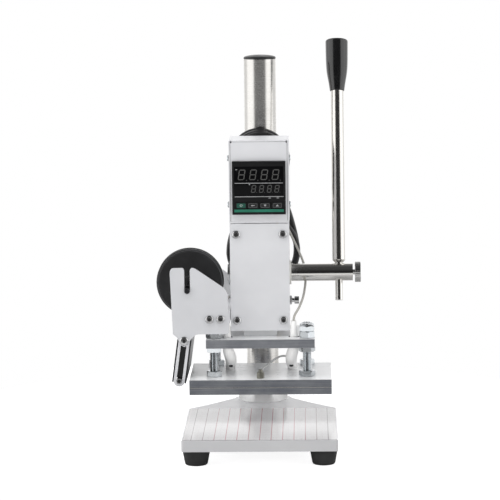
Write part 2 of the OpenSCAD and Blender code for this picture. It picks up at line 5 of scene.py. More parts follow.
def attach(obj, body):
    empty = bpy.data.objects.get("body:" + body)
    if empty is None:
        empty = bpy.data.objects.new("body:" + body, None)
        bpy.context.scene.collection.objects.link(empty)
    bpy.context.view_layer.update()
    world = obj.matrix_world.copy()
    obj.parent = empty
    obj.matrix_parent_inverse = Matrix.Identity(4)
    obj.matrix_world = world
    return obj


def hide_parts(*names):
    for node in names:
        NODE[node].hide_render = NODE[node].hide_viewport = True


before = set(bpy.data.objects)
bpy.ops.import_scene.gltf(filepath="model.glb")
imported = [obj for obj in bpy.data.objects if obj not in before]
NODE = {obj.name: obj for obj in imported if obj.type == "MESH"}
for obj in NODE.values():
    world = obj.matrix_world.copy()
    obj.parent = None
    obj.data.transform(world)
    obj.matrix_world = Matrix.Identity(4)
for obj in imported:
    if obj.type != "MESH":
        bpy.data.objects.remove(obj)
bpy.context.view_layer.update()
scene = bpy.context.scene
scene.view_settings.view_transform = "Standard"
MM = 0.001
FRONT = 107.0  # depth of the frame's origin behind the base's front edge, in mm


def P(x, d, z):
    """A point in the frame from millimetres: X, depth behind the base's front edge, height."""
    return Vector((x * MM, (d - FRONT) * MM, z * MM))


# ------------------------------------------------------------------ camera
cam_data = bpy.data.cameras.new("camera")
cam_data.sensor_width = 36.0
cam_data.lens = 164.3
cam_data.clip_start = 0.05
cam = bpy.data.objects.new("camera", cam_data)
scene.collection.objects.link(cam)
cam.location = (0.0428, -2.0554, 0.4524)
cam.rotation_euler = (Matrix.Rotation(math.radians(1.445), 3, "Z") @ Matrix.Rotation(math.radians(82.38), 3, "X")
                      @ Matrix.Rotation(math.radians(-0.668), 3, "Z")).to_euler()
scene.camera = cam


# ------------------------------------------------------------------ material helper
class Mat:
    """A procedural material: one Principled shader and the textures that drive it, in metres of object space."""

    def __init__(s, name, color=(0.8, 0.8, 0.8), rough=0.5, metal=0.0, coat=0.0, coat_rough=0.1, spec=0.5):
        s.m = bpy.data.materials.new(name)
        s.m.use_nodes = True
        s.nt = s.m.node_tree
        s.nt.nodes.clear()
        s.out = s.n("ShaderNodeOutputMaterial")
        s.b = s.n("ShaderNodeBsdfPrincipled")
        s.link(s.b.outputs[0], s.out.inputs[0])
        i = s.b.inputs
        i["Base Color"].default_value = (*color, 1)
        i["Roughness"].default_value = rough
        i["Metallic"].default_value = metal
        i["Coat Weight"].default_value = coat
        i["Coat Roughness"].default_value = coat_rough
        i["Specular IOR Level"].default_value = spec
        s.co = s.n("ShaderNodeTexCoord").outputs["Object"]

    def n(s, kind, **props):
        node = s.nt.nodes.new(kind)
        for k, v in props.items():
            setattr(node, k, v)
        return node

    def link(s, a, b):
        s.nt.links.new(a, b)

    def put(s, value, socket):
        if isinstance(value, bpy.types.NodeSocket):
            s.link(value, socket)
        elif value is not None:
            socket.default_value = value

    def level(s):
        """One on level faces, nought on upright ones."""
        return s.span(s.math("ABSOLUTE", s.xyz(s.n("ShaderNodeNewGeometry").outputs["Normal"])[2]), 0.6, 0.9)

    def map(s, scale=(1, 1, 1), rot=(0, 0, 0), vec=None):
        m = s.n("ShaderNodeMapping")
        s.link(vec or s.co, m.inputs[0])
        m.inputs["Scale"].default_value = scale
        m.inputs["Rotation"].default_value = rot
        return m.outputs[0]

    def noise(s, scale, detail=3.0, rough=0.55, vec=None, dist=0.0):
        t = s.n("ShaderNodeTexNoise")
        s.link(vec or s.co, t.inputs["Vector"])
        t.inputs["Scale"].default_value = scale
        t.inputs["Detail"].default_value = detail
        t.inputs["Roughness"].default_value = rough
        t.inputs["Distortion"].default_value = dist
        return t.outputs["Fac"]

    def voronoi(s, scale, vec=None, feature="F1"):
        t = s.n("ShaderNodeTexVoronoi", feature=feature)
        s.link(vec or s.co, t.inputs["Vector"])
        t.inputs["Scale"].default_value = scale
        return t.outputs["Distance"]

    def ramp(s, fac, stops, mode="LINEAR"):
        r = s.n("ShaderNodeValToRGB")
        r.color_ramp.interpolation = mode
        e = r.color_ramp.elements
        while len(e) < len(stops):
            e.new(0.5)
        for k, (pos, c) in enumerate(stops):
            e[k].position = pos
            e[k].color = (*c, 1) if isinstance(c, tuple) else (c, c, c, 1)
        s.link(fac, r.inputs[0])
        return r.outputs[0]

    def math(s, op, a, b=None, c=None, clamp=False):
        m = s.n("ShaderNodeMath", operation=op, use_clamp=clamp)
        for k, v in enumerate((a, b, c)):
            s.put(v, m.inputs[k])
        return m.outputs[0]

    def vmath(s, op, a, b=None, value=False):
        m = s.n("ShaderNodeVectorMath", operation=op)
        s.put(a, m.inputs[0])
        s.put(b, m.inputs[1])
        return m.outputs["Value"] if value else m.outputs[0]

    def xyz(s, vec=None):
        x = s.n("ShaderNodeSeparateXYZ")
        s.link(vec or s.co, x.inputs[0])
        return x.outputs

    def mix(s, fac, a, b, mode="MIX"):
        m = s.n("ShaderNodeMix", data_type="RGBA", blend_type=mode)
        s.put(fac, m.inputs[0])
        s.put((*a, 1) if isinstance(a, tuple) else a, m.inputs[6])
        s.put((*b, 1) if isinstance(b, tuple) else b, m.inputs[7])
        return m.outputs[2]

    def span(s, value, lo, hi, to_lo=0.0, to_hi=1.0, smooth=False):
        m = s.n("ShaderNodeMapRange", interpolation_type="SMOOTHSTEP" if smooth else "LINEAR")
        s.put(value, m.inputs["Value"])
        for key, v in (("From Min", lo), ("From Max", hi), ("To Min", to_lo), ("To Max", to_hi)):
            m.inputs[key].default_value = v
        return m.outputs["Result"]

    def edge(s, radius):
        """1 along sharp edges, 0 on flats."""
        bv = s.n("ShaderNodeBevel", samples=4)
        bv.inputs["Radius"].default_value = radius
        geo = s.n("ShaderNodeNewGeometry")
        d = s.vmath("DOT_PRODUCT", bv.outputs[0], geo.outputs["Normal"], value=True)
        return s.span(d, 0.99, 0.80, 0.0, 1.0, smooth=True)

    def bump(s, height, strength, dist, normal=None):
        b = s.n("ShaderNodeBump")
        b.inputs["Strength"].default_value = strength
        b.inputs["Distance"].default_value = dist
        s.link(height, b.inputs["Height"])
        if normal is not None:
            s.link(normal, b.inputs["Normal"])
        return b.outputs[0]

    def color(s, v):
        s.link(v, s.b.inputs["Base Color"])
        return s

    def rough(s, v):
        s.link(v, s.b.inputs["Roughness"])
        return s

    def normal(s, v):
        s.link(v, s.b.inputs["Normal"])
        return s


def powder(name, lo, hi, edge_highlight_wear_colour, rough=0.42, side=None):
    """Powder-coated sheet: faint orange peel, a little mottling, lighter edges that are a painted edge highlight with
    some worn rubbing. side is the tone of upright faces, a painted shade that darkens them.
    """
    m = Mat(name, hi, rough, coat=0.12, coat_rough=0.3)
    big = m.noise(26, 3, 0.6)
    fine = m.noise(2600, 2, 0.5)
    base = m.ramp(big, [(0.3, lo), (0.72, hi)])
    # painted shade: upright faces darker than level ones
    if side:
        base = m.mix(m.level(), m.mix(1.0, base, (side, side, side), "MULTIPLY"), base)
    # lighter edges: painted highlight along the bevels, with some worn rubbing
    edge_highlight_wear = m.math("MULTIPLY", m.edge(0.0006), m.span(m.noise(420, 3, 0.7), 0.42, 0.66))
    m.color(m.mix(m.math("MULTIPLY", edge_highlight_wear, 0.55), base, edge_highlight_wear_colour))
    m.rough(m.math("ADD", m.span(m.noise(90, 3), 0.3, 0.7, rough - 0.05, rough + 0.06), m.math("MULTIPLY", edge_highlight_wear, -0.1)))
    peel = m.noise(1150, 2, 0.45)
    m.normal(m.bump(fine, 0.04, 0.00008, m.bump(peel, 0.10, 0.00025)))
    return m


def metal(name, lo, hi, rough, streak=None, scratch=0.0, spread=0.06, edge=0.0, grain_depth=0.12, metallic=1.0, top=None, side=1.0, contrast=0.18, edge_highlight_wear=0.0005, lit_top_metal=None):
    """Bare or plated metal. streak gives the scale of the grain along each axis, top the roughness of level faces, side
    the tone of upright ones as a painted shade, edge_highlight_wear the width of its bright edges, which are a painted
    edge highlight with some worn metal, lit_top_metal the share of metal on level faces, whose colour it also paints
    paler as a painted highlight.
    """
    m = Mat(name, hi, rough, metallic)
    big = m.noise(38, 4, 0.6)
    grain = m.noise(1.0, 3, 0.6, m.map(streak)) if streak else m.noise(900, 3, 0.6)
    tone = m.math("ADD", m.math("MULTIPLY", big, 0.55), m.math("MULTIPLY", grain, 0.45))
    c = m.ramp(tone, [(0.5 - contrast, lo), (0.5 + contrast, hi)])
    # painted highlight: sharp edges lighter, as light caught on the bevels, with some worn metal
    if edge:
        c = m.mix(m.math("MULTIPLY", m.edge(edge_highlight_wear), edge), c, (0.92, 0.92, 0.93))
    worn = m.math("ADD", m.math("MULTIPLY", m.noise(120, 4, 0.65), 0.5), m.math("MULTIPLY", grain, 0.5))
    r = m.span(worn, 0.3, 0.7, max(rough - spread, 0.02), rough + spread)
    # painted light and shade: level faces painted paler, upright faces darkened by side
    if top:
        level = m.level()
        pale = m.mix(0.78, c, (0.95, 0.95, 0.945)) if lit_top_metal else c
        c = m.mix(level, m.mix(1.0, c, (side, side, side), "MULTIPLY"), pale)
        if lit_top_metal:
            m.put(m.math("ADD", metallic, m.math("MULTIPLY", level, lit_top_metal - metallic)), m.b.inputs["Metallic"])
        r = m.math("ADD", m.math("MULTIPLY", r, m.math("SUBTRACT", 1.0, level)),
                   m.math("MULTIPLY", level, m.span(worn, 0.3, 0.7, top * 0.75, top * 1.25)))
    m.color(c)
    m.rough(r)
    h = m.bump(grain, grain_depth, 0.00006) if grain_depth else None
    if scratch:
        lines = m.noise(1.0, 2, 0.5, m.map((260, 9000, 260), (0.3, 0.5, 0.7)))
        h = m.bump(m.span(lines, 0.60, 0.72), scratch, 0.00005, h)
    if h is not None:
        m.normal(h)
    return m


def plastic(name, lo, hi, rough, grain=1800, strength=0.06, coat=0.0, edge=0.0, coat_rough=0.08):
    m = Mat(name, hi, rough, coat=coat, coat_rough=coat_rough)
    c = m.ramp(m.noise(60, 4, 0.6), [(0.3, lo), (0.72, hi)])
    # lighter rims on sharp edges: a painted edge highlight with some worn rubbing
    if edge:
        edge_highlight_wear = m.math("MULTIPLY", m.edge(0.0005), m.span(m.noise(500, 3, 0.7), 0.40, 0.62))
        c = m.mix(m.math("MULTIPLY", edge_highlight_wear, edge), c, tuple(min(1.0, v * 4 + 0.05) for v in hi))
    m.color(c)
    m.rough(m.span(m.noise(140, 3), 0.3, 0.7, max(rough - 0.05, 0.03), rough + 0.06))
    m.normal(m.bump(m.noise(grain, 3, 0.6), strength, 0.00015))
    return m


# ------------------------------------------------------------------ materials
M = {}
# side (last value) darkens upright faces as painted shade; the front bracket's white is a darker copy (painted shade),
# the rear bracket's a lighter copy (painted light)
M["white_paint"] = powder("white_paint", (0.80, 0.805, 0.83), (0.87, 0.875, 0.90), (0.95, 0.95, 0.96), 0.42, 0.775)
M["white_paint_painted_shade"] = powder("white_paint_painted_shade", (0.56, 0.565, 0.585), (0.61, 0.615, 0.635), (0.80, 0.805, 0.82))
M["white_paint_painted_light"] = powder("white_paint_painted_light", (0.86, 0.865, 0.88), (0.91, 0.915, 0.93), (0.95, 0.95, 0.96))
M["base_paint"] = powder("base_paint", (0.87, 0.87, 0.89), (0.92, 0.92, 0.935), (0.95, 0.95, 0.95), 0.36, 0.61)
# the edge value paints lighter edges: a painted edge highlight with some worn metal
M["chrome_bar"] = metal("chrome_bar", (0.80, 0.785, 0.755), (0.85, 0.835, 0.805), 0.14, None, 0.0, 0.015, grain_depth=0.0)
M["rod_chrome"] = metal("rod_chrome", (0.80, 0.78, 0.745), (0.85, 0.83, 0.795), 0.21, None, 0.0, 0.015, grain_depth=0.0)
M["thumb_steel"] = metal("thumb_steel", (0.62, 0.615, 0.60), (0.74, 0.735, 0.72), 0.26, None, 0.0, 0.04, 0.25, grain_depth=0.03)
M["collar_steel"] = metal("collar_steel", (0.80, 0.80, 0.795), (0.90, 0.90, 0.895), 0.24, (40, 40, 1500), 0.0, 0.03, grain_depth=0.03, metallic=0.55)
M["zinc_steel"] = metal("zinc_steel", (0.56, 0.595, 0.62), (0.72, 0.74, 0.755), 0.23, None, 0.05, 0.05, 0.35, grain_depth=0.05)
M["screw_steel"] = metal("screw_steel", (0.60, 0.60, 0.605), (0.74, 0.74, 0.745), 0.17, None, 0.03, 0.04, 0.15, grain_depth=0.02)
M["ram_satin"] = metal("ram_satin", (0.66, 0.67, 0.68), (0.75, 0.76, 0.77), 0.34, (60, 60, 1800), 0.0, 0.05, 0.3, grain_depth=0.06, metallic=0.55)
# plates: upright faces darkened by side as painted shade, level faces painted paler as painted highlight
M["plate_alu"] = metal("plate_alu", (0.46, 0.485, 0.55), (0.69, 0.715, 0.77), 0.31, (16, 700, 1500), 0.05, 0.05, 0.6, grain_depth=0.07, metallic=0.84, top=0.32, side=0.52, contrast=0.09, edge_highlight_wear=0.0009, lit_top_metal=0.15)
M["press_alu"] = metal("press_alu", (0.46, 0.48, 0.535), (0.68, 0.70, 0.75), 0.33, (18, 750, 1500), 0.05, 0.05, 0.6, grain_depth=0.07, metallic=0.84, top=0.34, side=0.60, contrast=0.09, edge_highlight_wear=0.0009, lit_top_metal=0.15)
M["gear_steel"] = metal("gear_steel", (0.40, 0.40, 0.41), (0.60, 0.60, 0.60), 0.30, (300, 2200, 80), 0.08, 0.08, 0.4)
M["black_steel"] = metal("black_steel", (0.035, 0.035, 0.038), (0.075, 0.075, 0.08), 0.38, None, 0.05, 0.08, 0.06)
M["gib_brass"] = metal("gib_brass", (0.62, 0.46, 0.20), (0.78, 0.60, 0.30), 0.3, (1600, 60, 60))
M["probe_brass"] = metal("probe_brass", (0.24, 0.235, 0.20), (0.36, 0.35, 0.30), 0.38, None, 0.06, 0.08, 0.45, grain_depth=0.08)
M["knob_black"] = plastic("knob_black", (0.005, 0.005, 0.0055), (0.009, 0.009, 0.0095), 0.20, 700, 0.02, 0.7)
M["cap_black"] = plastic("cap_black", (0.012, 0.012, 0.013), (0.022, 0.022, 0.023), 0.36, 1500, 0.05)
M["black_rubber"] = plastic("black_rubber", (0.012, 0.012, 0.012), (0.026, 0.026, 0.026), 0.62, 1300, 0.12, edge=0.25)
M["cord_black"] = plastic("cord_black", (0.014, 0.014, 0.0145), (0.026, 0.026, 0.027), 0.30, 1100, 0.04)
M["plug_black"] = plastic("plug_black", (0.016, 0.016, 0.017), (0.028, 0.028, 0.029), 0.45, 2600, 0.10, edge=0.2)
M["controller_case"] = plastic("controller_case", (0.004, 0.004, 0.0044), (0.008, 0.008, 0.0086), 0.38, 3000, 0.07, edge=0.10)
M["controller_case"].b.inputs["Specular IOR Level"].default_value = 0.28
M["key_rubber"] = plastic("key_rubber", (0.009, 0.0095, 0.0095), (0.016, 0.017, 0.017), 0.50, 2600, 0.06, edge=0.12)
M["bush_plastic"] = plastic("bush_plastic", (0.70, 0.69, 0.64), (0.80, 0.79, 0.75), 0.45, 900, 0.05)
M["mica"] = plastic("mica", (0.42, 0.30, 0.16), (0.58, 0.44, 0.27), 0.5, 300, 0.1)

# glossy printed film: centimetre lines (reddish), faint millimetre lines, laminate gloss
g = Mat("grid_print", (0.82, 0.81, 0.815), 0.22)
gx, gy, gz = g.xyz()


def lines(axis, pitch, half, shift=0.0):
    """1 on lines every pitch metres, half a line's width from its middle."""
    v = g.math("ADD", axis, shift)
    off = g.math("ABSOLUTE", g.math("SUBTRACT", g.math("FRACT", g.math("ADD", g.math("DIVIDE", v, pitch), 0.5)), 0.5))
    return g.span(g.math("MULTIPLY", off, pitch), half, half * 0.55)


paper = g.ramp(g.noise(30, 3), [(0.3, (0.78, 0.775, 0.78)), (0.7, (0.83, 0.825, 0.83))])
mm_lines = g.math("MAXIMUM", lines(gx, 0.001, 0.00009), lines(gy, 0.001, 0.00014, 0.0005))
cm_x = lines(gx, 0.010, 0.00040)
cm_y = lines(gy, 0.010, 0.00028, 0.0045)
hx = lines(gx, 0.005, 0.00016)
centre = g.span(g.math("ABSOLUTE", gx), 0.058, 0.030, 0.0, 1.0, smooth=True)
ink = g.mix(centre, (0.22, 0.19, 0.20), (0.42, 0.11, 0.14))
sheet = g.mix(g.math("MULTIPLY", mm_lines, 0.55), paper, (0.40, 0.38, 0.39))
sheet = g.mix(g.math("MULTIPLY", hx, 0.22), sheet, (0.5, 0.36, 0.38))
sheet = g.mix(g.math("MULTIPLY", cm_y, 0.38), sheet, (0.45, 0.36, 0.37))
sheet = g.mix(g.math("MULTIPLY", cm_x, 0.85), sheet, ink)
g.color(sheet)
g.rough(g.span(g.noise(200, 4, 0.7), 0.3, 0.7, 0.11, 0.17))
g.normal(g.bump(g.noise(55, 3), 0.05, 0.0004))
M["grid_print"] = g

# woven fibreglass: crossing diagonal bundles
w = Mat("glass_sleeve", (0.92, 0.91, 0.89), 0.78, spec=0.3)
wx, wy, wz = w.xyz()
across = w.math("ADD", wx, w.math("MULTIPLY", wy, 0.7))
a1 = w.math("SINE", w.math("MULTIPLY", w.math("ADD", across, wz), 4100))
a2 = w.math("SINE", w.math("MULTIPLY", w.math("SUBTRACT", across, wz), 4100))
weave = w.math("MAXIMUM", a1, a2)
w.color(w.mix(w.span(weave, -0.3, 0.9), (0.92, 0.915, 0.905), w.ramp(w.noise(160, 3), [(0.3, (0.95, 0.945, 0.935)), (0.7, (0.98, 0.975, 0.97))])))
w.normal(w.bump(w.math("ADD", weave, w.math("MULTIPLY", w.noise(3000, 2), 0.6)), 0.25, 0.00020))
M["glass_sleeve"] = w

# braided lead: fine spiral of grey-beige thread
for lead_name, lo, hi in (("lead_sheath", (0.40, 0.39, 0.36), (0.58, 0.565, 0.53)), ("probe_braid", (0.50, 0.50, 0.50), (0.72, 0.72, 0.71))):
    b = Mat(lead_name, hi, 0.55)
    v = b.voronoi(1900, b.map((1, 1, 0.7), (0.5, 0.3, 0.2)))
    b.color(b.mix(b.span(v, 0.1, 0.6), hi, lo))
    b.rough(b.span(b.noise(300, 3), 0.3, 0.7, 0.48, 0.66))
    b.normal(b.bump(b.math("MULTIPLY", v, -1.0), 0.45, 0.00025))
    M[lead_name] = b
M["probe_braid"].b.inputs["Metallic"].default_value = 0.6
M["probe_braid"].b.inputs["Roughness"].default_value = 0.4

# turned black cheeks: fine rings round the axle; lighter edges are a painted edge highlight with some worn rubbing, and
# a light ring near the rim is a painted highlight
c = Mat("black_fibre", (0.02, 0.02, 0.02), 0.48)
cx, cy, cz = c.xyz()
rad = c.math("SQRT", c.math("ADD", c.math("POWER", c.math("ADD", cx, 0.0651), 2.0), c.math("POWER", c.math("SUBTRACT", cz, 0.1451), 2.0)))
rings = c.math("SINE", c.math("MULTIPLY", rad, 2 * math.pi / 0.0006))
c.color(c.mix(c.math("MULTIPLY", c.edge(0.0007), 0.30), c.ramp(c.noise(70, 4), [(0.3, (0.010, 0.010, 0.0105)), (0.7, (0.019, 0.019, 0.020))]), (0.16, 0.16, 0.165)))
# painted highlight: a light ring near the rim
painted_rim_highlight = c.span(c.math("ABSOLUTE", c.math("SUBTRACT", rad, 0.0296)), 0.0007, 0.0002)
c.color(c.mix(c.math("MULTIPLY", painted_rim_highlight, 0.55), c.b.inputs["Base Color"].links[0].from_socket, (0.11, 0.11, 0.115)))
c.rough(c.span(c.noise(160, 3), 0.3, 0.7, 0.42, 0.56))
c.normal(c.bump(rings, 0.10, 0.00006, c.bump(c.noise(1400, 2), 0.05, 0.0001)))
M["black_fibre"] = c

# turned chrome column: marks run round it
k = M["turned_chrome"] = metal("turned_chrome", (0.66, 0.645, 0.62), (0.80, 0.785, 0.76), 0.27, (12, 12, 1500), 0.0, 0.01, grain_depth=0.0)
k.b.inputs["Anisotropic"].default_value = 0.4
k.b.inputs["Anisotropic Rotation"].default_value = 0.25
k.link(k.n("ShaderNodeTangent", direction_type="RADIAL", axis="Z").outputs[0], k.b.inputs["Tangent"])

# display: smoked window, unlit segments, printed marks
M["window"] = plastic("window", (0.003, 0.003, 0.0034), (0.005, 0.005, 0.0056), 0.10, 900, 0.01, 0.0)
M["window"].b.inputs["Specular IOR Level"].default_value = 0.07
M["segment_big"] = plastic("segment_big", (0.058, 0.058, 0.055), (0.080, 0.080, 0.077), 0.5, 2000, 0.03)
M["segment_small"] = plastic("segment_small", (0.050, 0.051, 0.049), (0.070, 0.071, 0.069), 0.5, 2000, 0.03)
M["segment_dim"] = plastic("segment_dim", (0.028, 0.028, 0.027), (0.040, 0.040, 0.038), 0.5, 2000, 0.03)
M["print_grey"] = plastic("print_grey", (0.27, 0.275, 0.28), (0.36, 0.365, 0.37), 0.5, 2000, 0.03)
M["print_dim"] = plastic("print_dim", (0.085, 0.088, 0.09), (0.12, 0.123, 0.125), 0.5, 2000, 0.03)
M["print_green"] = plastic("print_green", (0.008, 0.115, 0.070), (0.014, 0.165, 0.105), 0.42, 2000, 0.03)
M["key_green"] = plastic("key_green", (0.005, 0.048, 0.033), (0.009, 0.076, 0.052), 0.45, 2000, 0.03)
M["print_pale"] = plastic("print_pale", (0.38, 0.42, 0.40), (0.50, 0.54, 0.52), 0.5, 2000, 0.03)
# black for painted shade in sockets and slots, grey for painted shade lines in gaps
M["painted_shade_black"] = plastic("painted_shade_black", (0.010, 0.010, 0.010), (0.020, 0.020, 0.020), 0.6, 1500, 0.05)
M["shade_line_grey"] = plastic("shade_line_grey", (0.16, 0.16, 0.165), (0.22, 0.22, 0.225), 0.45, 1500, 0.05)
M["nickel"] = metal("nickel", (0.60, 0.58, 0.53), (0.76, 0.74, 0.69), 0.2, (500, 500, 60), 0.08)


# ------------------------------------------------------------------ mesh helpers
def add(name, me, material, body, smooth=None):
    ob = bpy.data.objects.new(name, me)
    scene.collection.objects.link(ob)
    me.materials.clear()
    me.materials.append(material.m)
    if smooth is not None:
        me.polygons.foreach_set("use_smooth", [True] * len(me.polygons))
        me.set_sharp_from_angle(angle=math.radians(smooth))
    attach(ob, body)
    return ob


def mesh_from(name, verts, faces):
    me = bpy.data.meshes.new(name)
    me.from_pydata([tuple(v) for v in verts], [], faces)
    bm = bmesh.new()
    bm.from_mesh(me)
    bmesh.ops.recalc_face_normals(bm, faces=bm.faces)
    bm.to_mesh(me)
    bm.free()
    me.update()
    return me


def axes(axis):
    a = Vector(axis).normalized()
    u = Vector((1, 0, 0)) if abs(a.x) < 0.9 else Vector((0, 1, 0))
    u = (u - a * u.dot(a)).normalized()
    return a, u, a.cross(u)


def turned(prof, origin, axis, segs=64, ripple=None):
    """Vertices and faces of a profile [(radius, along), ...] in mm turned about an axis. Where both ends have a radius, it closes on itself as a ring."""
    a, u, v = axes(axis)
    verts, rows = [], []
    for r, h in prof:
        if r <= 1e-6:
            rows.append([len(verts)] * segs)
            verts.append(origin + a * (h * MM))
        else:
            rows.append(list(range(len(verts), len(verts) + segs)))
            for k in range(segs):
                t = 2 * math.pi * k / segs
                rr = r + (ripple(k, r, h) if ripple else 0.0)
                verts.append(origin + a * (h * MM) + (u * math.cos(t) + v * math.sin(t)) * (rr * MM))
    faces = []
    n = len(rows)
    closed = prof[0][0] > 1e-6 and prof[-1][0] > 1e-6
    for i in range(n if closed else n - 1):
        p, q = rows[i], rows[(i + 1) % n]
        for k in range(segs):
            j = (k + 1) % segs
            f = []
            for x in (p[k], p[j], q[j], q[k]):
                if x not in f:
                    f.append(x)
            if len(f) > 2:
                faces.append(f)
    return verts, faces


def lathe(name, prof, origin, axis, material, body, segs=64, smooth=32, ripple=None):
    return add(name, mesh_from(name, *turned(prof, origin, axis, segs, ripple)), material, body, smooth)


def joined(parts):
    """Several (vertices, faces) as one."""
    verts, faces = [], []
    for v, f in parts:
        k = len(verts)
        verts += v
        faces += [[i + k for i in q] for q in f]
    return verts, faces


def soft_profile(points, steps=5):
    """A smooth profile through the points."""
    out = []
    for i in range(len(points) - 1):
        p = [Vector(points[min(max(j, 0), len(points) - 1)]) for j in (i - 1, i, i + 1, i + 2)]
        for s in range(steps):
            t = s / steps
            q = 0.5 * (2 * p[1] + (p[2] - p[0]) * t + (2 * p[0] - 5 * p[1] + 4 * p[2] - p[3]) * t * t
                       + (3 * p[1] - p[0] - 3 * p[2] + p[3]) * t ** 3)
            out.append((max(q.x, 0.0), q.y))
    out.append(tuple(points[-1]))
    return out


def catmull(points, step):
    """Points about step mm apart on a smooth curve through the given ones."""
    out = []
    for i in range(len(points) - 1):
        p = [points[min(max(j, 0), len(points) - 1)] for j in (i - 1, i, i + 1, i + 2)]
        n = max(2, round((p[2] - p[1]).length / (step * MM)))
        for s in range(n):
            t = s / n
            out.append(0.5 * (2 * p[1] + (p[2] - p[0]) * t + (2 * p[0] - 5 * p[1] + 4 * p[2] - p[3]) * t * t
                              + (3 * p[1] - p[0] - 3 * p[2] + p[3]) * t ** 3))
    out.append(points[-1])
    return out


def wire(name, points, radius, material, body, res=3):
    cu = bpy.data.curves.new(name, "CURVE")
    cu.dimensions = "3D"
    sp = cu.splines.new("POLY")
    sp.points.add(len(points) - 1)
    for a, b in zip(sp.points, points):
        a.co = (*b, 1.0)
    cu.bevel_depth = radius * MM
    cu.bevel_resolution = res
    cu.use_fill_caps = True
    ob = bpy.data.objects.new(name, cu)
    scene.collection.objects.link(ob)
    cu.materials.append(material.m)
    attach(ob, body)
    return ob


def round_box(name, x0, x1, d0, d1, z0, z1, r, material, body, segs=3):
    bm = bmesh.new()
    bmesh.ops.create_cube(bm, size=1.0)
    for v in bm.verts:
        v.co = P(x0 + (v.co.x + 0.5) * (x1 - x0), d0 + (v.co.y + 0.5) * (d1 - d0), z0 + (v.co.z + 0.5) * (z1 - z0))
    bmesh.ops.bevel(bm, geom=bm.edges[:], offset=r * MM, segments=segs, profile=0.5, affect="EDGES")
    me = bpy.data.meshes.new(name)
    bm.to_mesh(me)
    bm.free()
    return add(name, me, material, body, 40)


def prisms(name, outlines, d_front, thick, material, body):
    """Flat shapes in the X-Z plane, thick mm deep behind d_front, each with its own outline in mm."""
    parts = []
    for o in outlines:
        n = len(o)
        v = [P(x, d_front, z) for x, z in o] + [P(x, d_front + thick, z) for x, z in o]
        f = [list(range(n)), list(range(2 * n - 1, n - 1, -1))] + [[i, (i + 1) % n, n + (i + 1) % n, n + i] for i in range(n)]
        parts.append((v, f))
    return add(name, mesh_from(name, *joined(parts)), material, body, None)


def soften(node, width, segs=2, angle=38):
    """Rounds the sharp edges of a CAD node by modifiers."""
    ob = NODE[node]
    wd = ob.modifiers.new("join", "WELD")
    wd.merge_threshold = 1e-6
    dc = ob.modifiers.new("flats", "DECIMATE")
    dc.decimate_type = "DISSOLVE"
    dc.angle_limit = math.radians(0.5)
    bv = ob.modifiers.new("round", "BEVEL")
    bv.width = width * MM
    bv.segments = segs
    bv.limit_method = "ANGLE"
    bv.angle_limit = math.radians(angle)
    bv.use_clamp_overlap = True
    bv.face_strength_mode = "FSTR_ALL"
    wt = ob.modifiers.new("even", "WEIGHTED_NORMAL")
    wt.mode = "FACE_AREA"
    wt.weight = 100
    wt.use_face_influence = True


def paint(material, *nodes):
    for n in nodes:
        me = NODE[n].data
        me.materials.clear()
        me.materials.append(M[material].m)


# ------------------------------------------------------------------ power cord
cord_in = [P(*q) for q in ((20, 142, 218), (20, 147, 218), (20, 153, 218), (20, 158, 218), (20.1, 163, 217.8), (21.2, 173, 215),
                           (23.4, 181.3, 209.2), (26.2, 186.7, 200.7), (28.9, 188.5, 190.8), (31.4, 187.2, 180.7), (32.9, 183.9, 170.9),
                           (32.4, 179.8, 161.3), (29.1, 175.6, 152.3), (22.6, 172, 144.9), (13.8, 169.4, 139.8), (3.7, 167.8, 137.5))]
ring = []
for s in range(0, 73):  # lower turns round the neck, clockwise from the front
    f = s / 72
    a = math.radians(-106 - 434 * f)
    ring.append(P(2 + 31.6 * math.cos(a), 167.0 - 7.4 * f, 169 + 31.6 * math.sin(a)))
link = [P(*q) for q in ((-28.7, 159.7, 177.5), (-25.6, 159.6, 188), (-20, 159.4, 197.6), (-12.6, 158, 206.2), (-4.2, 154.4, 214.3),
                        (4.2, 150, 222.4), (12, 147, 231.2))]
loop = []
for s in range(0, 115):  # upper turns behind the box
    f = s / 114
    a = math.radians(-32 + 1292 * f)
    loop.append(P(1.0 * math.sin(2 * math.pi * 1.8 * f) + 24.4 * math.cos(a), 145.5 + 22.2 * f, 256.7 - 2.5 * (1 - f) + 24.4 * math.sin(a)))
tail = [P(*q) for q in ((-24.9, 170.6, 247), (-25, 177.2, 234.5), (-25, 187.2, 223), (-22, 198, 213), (-15, 207.2, 205.5), (-7, 214.2, 197.5),
                        (-2, 218.2, 187.5), (0, 219.5, 175), (0, 219.5, 160), (0, 219.5, 140), (0, 219.5, 124))]
cord_line = catmull(cord_in + ring + link + loop + tail, 2.6)
cord = wire("power_cord", cord_line, 2.9, M["cord_black"], "head", 5)
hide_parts("cord_lead_in", "cord_hank", "cord_tail")

# ribbed strain relief on the box's rear wall
gl = [(3.05, 137), (5, 137), (5, 141), (5.5, 141), (5.5, 142.6), (5.1, 143.0)]
for i in range(6):
    t = 143.6 + 2.5 * i
    r = 4.9 - 0.2 * i
    gl += [(r, t), (r, t + 1.3), (r - 0.7, t + 1.5), (r - 0.75, t + 2.3)]
gl += [(3.5, 159), (3.05, 159)]
gland = lathe("strain_relief", gl, P(20, 0, 218), (0, 1, 0), M["black_rubber"], "head", 40, 30)
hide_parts("cord_gland")

